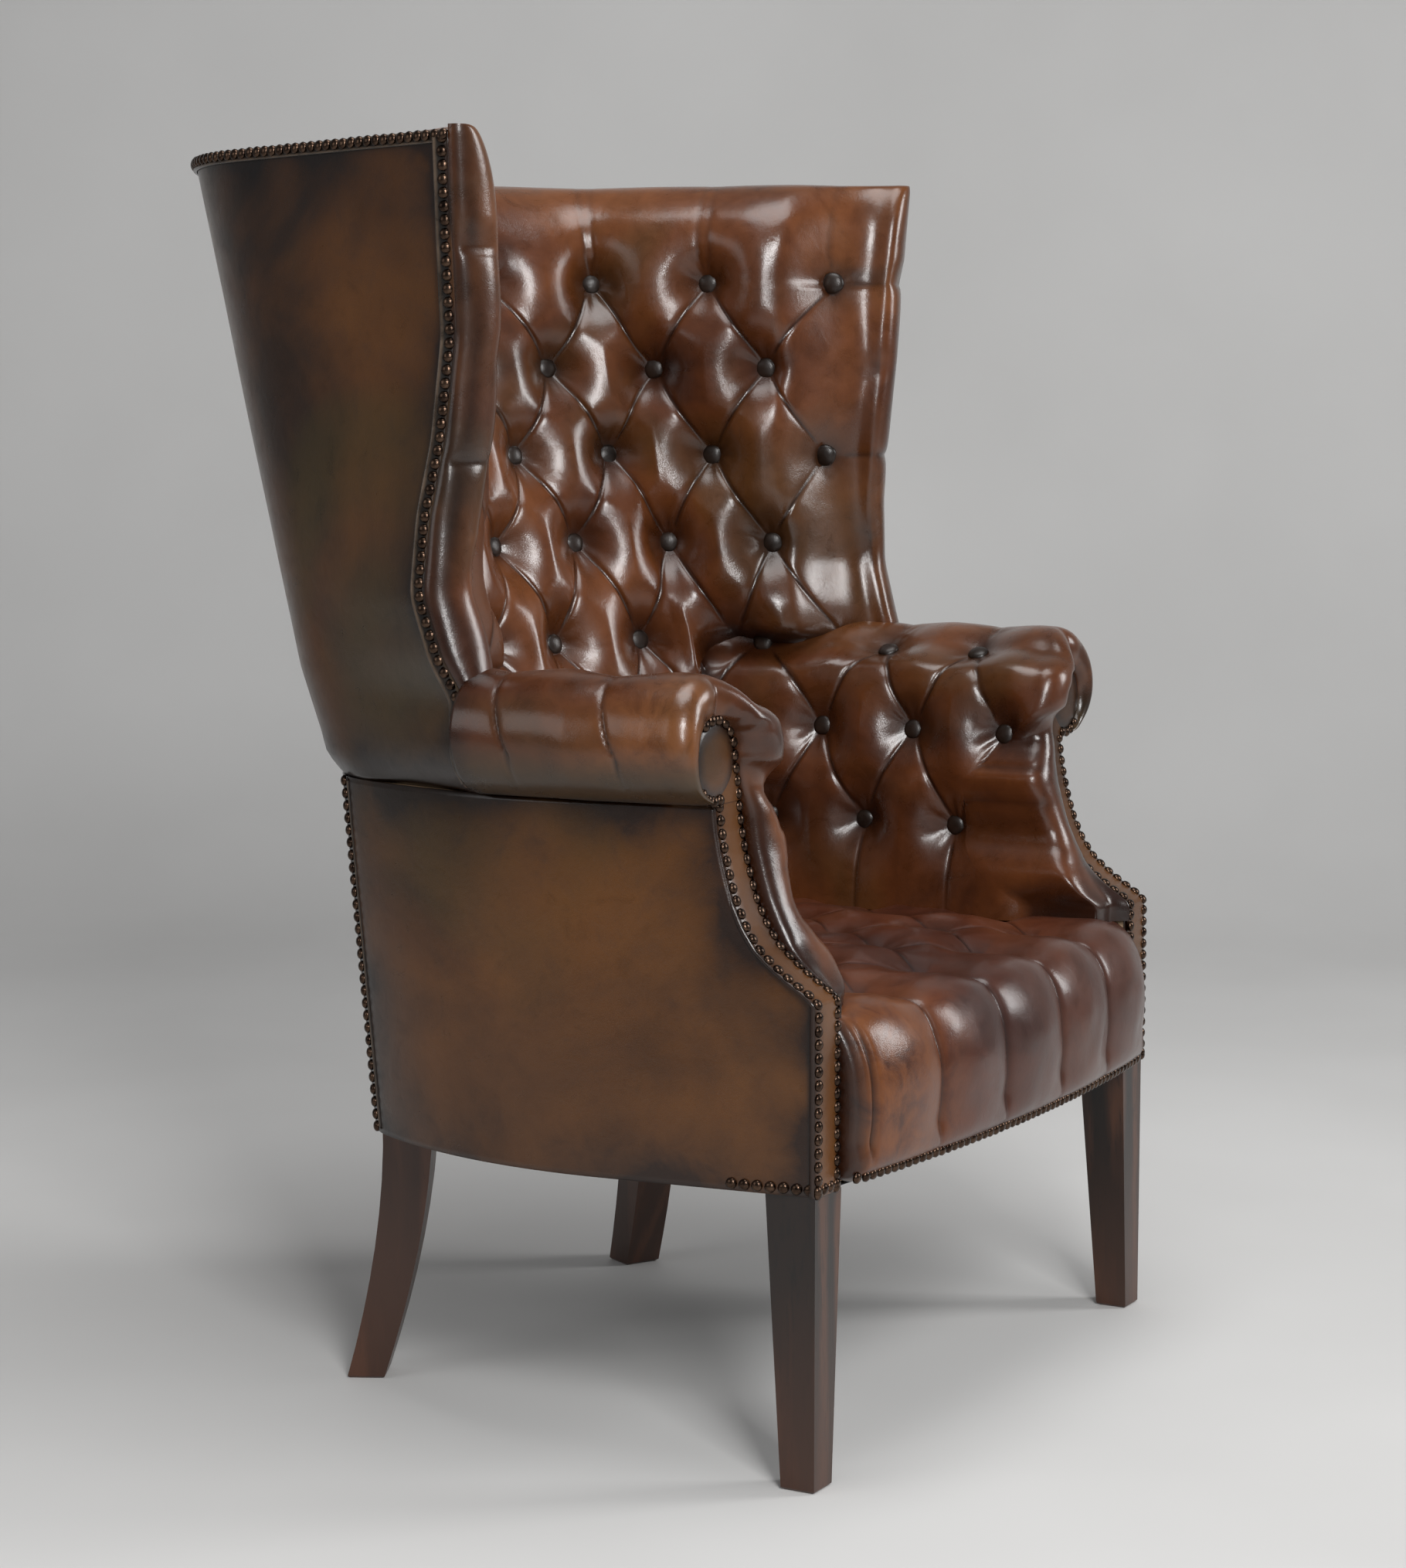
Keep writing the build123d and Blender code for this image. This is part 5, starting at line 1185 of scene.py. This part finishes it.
def rail_nails():
    pts, nrm = [], []
    for x in np.linspace(-300, 300, 160):
        inward = 0.3 * ramp(abs(x) / 303, 0.97, 1) ** 2
        pts.append([x, 20 * (x / 310) ** 2 - 20 - 14.5 + 13.5 * inward, 256.5])
        nrm.append(unit([0.13 * x / 303, -1.0, -0.12]))
    rows = [(pts, nrm)]
    line = lower_shell(253.0)
    for side in (-1, 1):
        p, n = [], []
        for y in np.linspace(6, 74, 20):
            x, yy, a = line.place(line.run_at(y), -0.8)
            p.append([side * x, yy, 253.0])
            n.append([side * math.sin(a), math.cos(a), 0.0])
        rows.append((p, n))
        rows.append(([[side * x, -0.6, 252.5] for x in (310.5, 326.5, 342.5)], [[0, -1, 0]] * 3))
    nail_row("rail_nails", rows)


def button_mesh(places, name, radius):
    """Covered buttons: a low dome with a soft rim, slightly uneven."""
    shape = ((0.55, -3.0), (0.86, -2.4), (1.0, -0.4), (0.99, 1.0), (0.90, 2.6), (0.70, 3.9), (0.42, 4.7),
             (0.18, 5.0))
    sides = 20
    verts, faces, shade_and_patina, paler = [], [], [], []
    for number, (centre, normal) in enumerate(places):
        normal = unit(normal)
        a, b = across_axes(normal)
        faces += dome_faces(len(verts), len(shape), sides)
        for r, h in shape:
            for i in range(sides):
                t = 2 * math.pi * i / sides
                wob = 1 + 0.03 * math.sin(3 * t + number) + 0.02 * math.sin(5 * t + 2 * number)
                verts.append(centre + radius * r * wob * (math.cos(t) * a + math.sin(t) * b) + h * normal)
                # painted shade on the sunken foot and lower rim, where the button meets the leather
                shade_and_patina.append(0.85 if h < 0 else 0.25 if h < 2 else 0.0)
                paler.append(0.0 if h < 3 else 0.2)
        verts.append(centre + 5.1 * normal)
        shade_and_patina.append(0.0)
        paler.append(0.2)
    return piece(name, verts, faces, "button", {"shade_and_patina": shade_and_patina, "paler": paler})


def back_button_places():
    places = []
    for row, z in enumerate(ROWS):
        last = 8 if z > ABOVE_ARMS else 4
        outline_at = inner_back if z > WAIST else inner_seat
        line, above = outline_at(z), outline_at(z + 10)
        for column in range(-last, last + 1):
            if (row + column) % 2:
                continue
            run = back_pitch(z) * column
            inset = 1.0
            if abs(column) == 8:
                inset -= (BUTTON_DEPTH - WING_EDGE) * wing_taper(run, back_pitch(z), line.length)
            x, y, a = line.place(run, inset)
            ux, uy, _ = above.place(back_pitch(z + 10) * column, inset)
            side = -1 if column < 0 else 1
            out = -np.array([side * math.sin(a), math.cos(a), 0.0])
            up = unit([ux - x, uy - y, 10.0])
            normal = unit(out - np.dot(out, up) * up)
            places.append((np.array([x, y, z]) + 1.2 * normal, normal))
    return places


def arm_button_places(side):
    places = []
    for row in range(4, 7):
        z = ROWS[row]
        for column in range(6):
            if (row + column) % 2:
                continue
            y = ARM_REAR - ARM_COLUMN * column
            x0, y0 = arm_base(y, z)
            x1, y1 = arm_base(y, z + 8)
            x2, y2 = arm_base(y - 5, z)
            up = np.array([x1 - x0, y1 - y0, 8.0])
            ahead = np.array([x2 - x0, y2 - y0, 0.0])
            normal = unit(np.cross(ahead, up))
            if normal[0] > 0:
                normal = -normal
            sink = 13.0 * ease(z, 618, 655)
            if sink > 1:
                normal = unit(normal + np.array([0.0, 0.0, 0.25]))
            p = np.array([x0, y0, z]) + (1.2 - sink) * normal
            places.append((p * (side, 1, 1), normal * (side, 1, 1)))
    return places


def seat_button_places():
    places = []
    line = inner_seat(SEAT_EDGE)
    for row in range(6):
        y = SEAT_FIRST_ROW + SEAT_ROW * row
        for column in range(-4, 5):
            x = SEAT_COLUMN * column
            low, _ = halved(0.0, line.marks[2], lambda run: line.place(run, 34.0)[0] < abs(x), 30)
            if (row + column) % 2 == 1 and y < line.place(low, 34.0)[1] - 20:
                crown = 9 * (1 - ease(abs(x), 151, 227)) * ease(y, 45, 120)
                places.append((np.array([x, y, SEAT_EDGE - 15 + crown - 0.4]), np.array([0.0, 0.0, 1.0])))
    return places


# Build
back_skin()
for s in (-1, 1):
    arm_skin(s)
    side_leather(s)
    facing_piece(s)
    wing_strip(s)
    facing_nails(s)
seat_skin()
outer_leather()
top_strip()
corner_nails()
rail_nails()
BACK_BUTTON_RADIUS, SMALL_BUTTON_RADIUS = 11.0, 10.5
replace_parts(button_mesh(back_button_places(), "back_buttons_covered", BACK_BUTTON_RADIUS), "back_buttons")
for s in (1, -1):
    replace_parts(button_mesh(arm_button_places(s), "arm_buttons_covered_" + SIDE[s], SMALL_BUTTON_RADIUS),
                "arm_buttons_" + SIDE[s])
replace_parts(button_mesh(seat_button_places(), "seat_buttons_covered", SMALL_BUTTON_RADIUS), "seat_buttons")

FINISH = {"leg": "mahogany", "rail": "beech", "post": "beech", "slat": "beech", "block": "beech",
          "canvas": "canvas", "webbing": "jute", "springs": "steel", "dust": "dust_cloth"}
for name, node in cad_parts.items():
    finish = next((material for key, material in FINISH.items() if key in name), None)
    for slot in node.material_slots if finish else ():
        slot.material = MATERIALS[finish]
    if "leg" in name:
        bevel = node.modifiers.new("edge", "BEVEL")
        bevel.width = 0.0022
        bevel.segments = 3
        bevel.limit_method = "ANGLE"
        bevel.angle_limit = math.radians(35)


# Floor, light, camera
bpy.context.scene.view_settings.view_transform = "Standard"
YAW, PITCH = math.radians(60.25), math.radians(6.23)


def studio_floor():
    """Pale floor that bends up into a wall behind the chair, square to the camera."""
    size, wall, bend = 6.0, 3.4, 1.0
    profile = [(-size, 0.0), (wall - bend, 0.0)]
    for k in range(1, 13):
        t = math.pi / 2 * k / 12
        profile.append((wall - bend + bend * math.sin(t), bend - bend * math.cos(t)))
    profile.append((wall, 5.0))
    ahead, across = (math.sin(YAW), math.cos(YAW)), (math.cos(YAW), -math.sin(YAW))
    verts = [(ahead[0] * d + across[0] * w, ahead[1] * d + across[1] * w, h)
             for d, h in profile for w in (-7.0, 7.0)]
    faces = [[2 * k, 2 * k + 1, 2 * k + 3, 2 * k + 2] for k in range(len(profile) - 1)]
    mesh = bpy.data.meshes.new("studio_floor")
    mesh.from_pydata(verts, [], faces)
    mesh.polygons.foreach_set("use_smooth", [True] * len(faces))
    tree, bsdf, coords = node_material("studio_floor")
    cloud = noise_node(tree, coords, 1.3, 3.0)
    tone = ramp_node(tree, cloud, (0.3, rgb(.60, .595, .585)), (0.7, rgb(.66, .655, .645)))
    feed(bsdf.inputs["Base Color"], tone)
    feed(bsdf.inputs["Roughness"], 0.7)
    mesh.materials.append(MATERIALS["studio_floor"])
    obj = bpy.data.objects.new("studio_floor", mesh)
    bpy.context.scene.collection.objects.link(obj)
    return obj


studio_floor()

world = bpy.data.worlds.new("studio")
bpy.context.scene.world = world
world.use_nodes = True
world.node_tree.nodes["Background"].inputs["Color"].default_value = (0.86, 0.87, 0.90, 1.0)
world.node_tree.nodes["Background"].inputs["Strength"].default_value = 0.19


def turned_to(obj, direction):
    obj.rotation_euler = Vector(direction).to_track_quat("-Z", "Y").to_euler()
    bpy.context.scene.collection.objects.link(obj)


def area(name, location, target, size, power):
    data = bpy.data.lights.new(name, "AREA")
    data.shape = "RECTANGLE"
    data.size, data.size_y = size
    data.energy = power
    obj = bpy.data.objects.new(name, data)
    obj.location = location
    turned_to(obj, Vector(target) - Vector(location))


area("soft_key", (-2.6, -2.6, 2.7), (0, 0, 0.6), (1.1, 1.1), 92)
area("soft_right", (1.9, -2.9, 1.9), (0, 0, 0.7), (0.9, 1.5), 48)
area("soft_top", (-0.2, -0.4, 3.3), (0, 0, 0.5), (1.6, 1.6), 40)
area("soft_left", (-3.0, 1.6, 1.8), (0, 0, 0.6), (1.8, 1.8), 14)
area("small_front", (-2.2, -1.9, 1.35), (0, 0, 0.7), (0.35, 0.35), 14)

camera = bpy.data.objects.new("camera", bpy.data.cameras.new("camera"))
camera.location = (-2.6603, -1.5789, 0.8695)
camera.data.lens = 75.77
camera.data.sensor_width = 36.0
camera.data.sensor_fit = "AUTO"
turned_to(camera, (math.sin(YAW) * math.cos(PITCH), math.cos(YAW) * math.cos(PITCH), -math.sin(PITCH)))
bpy.context.scene.camera = camera
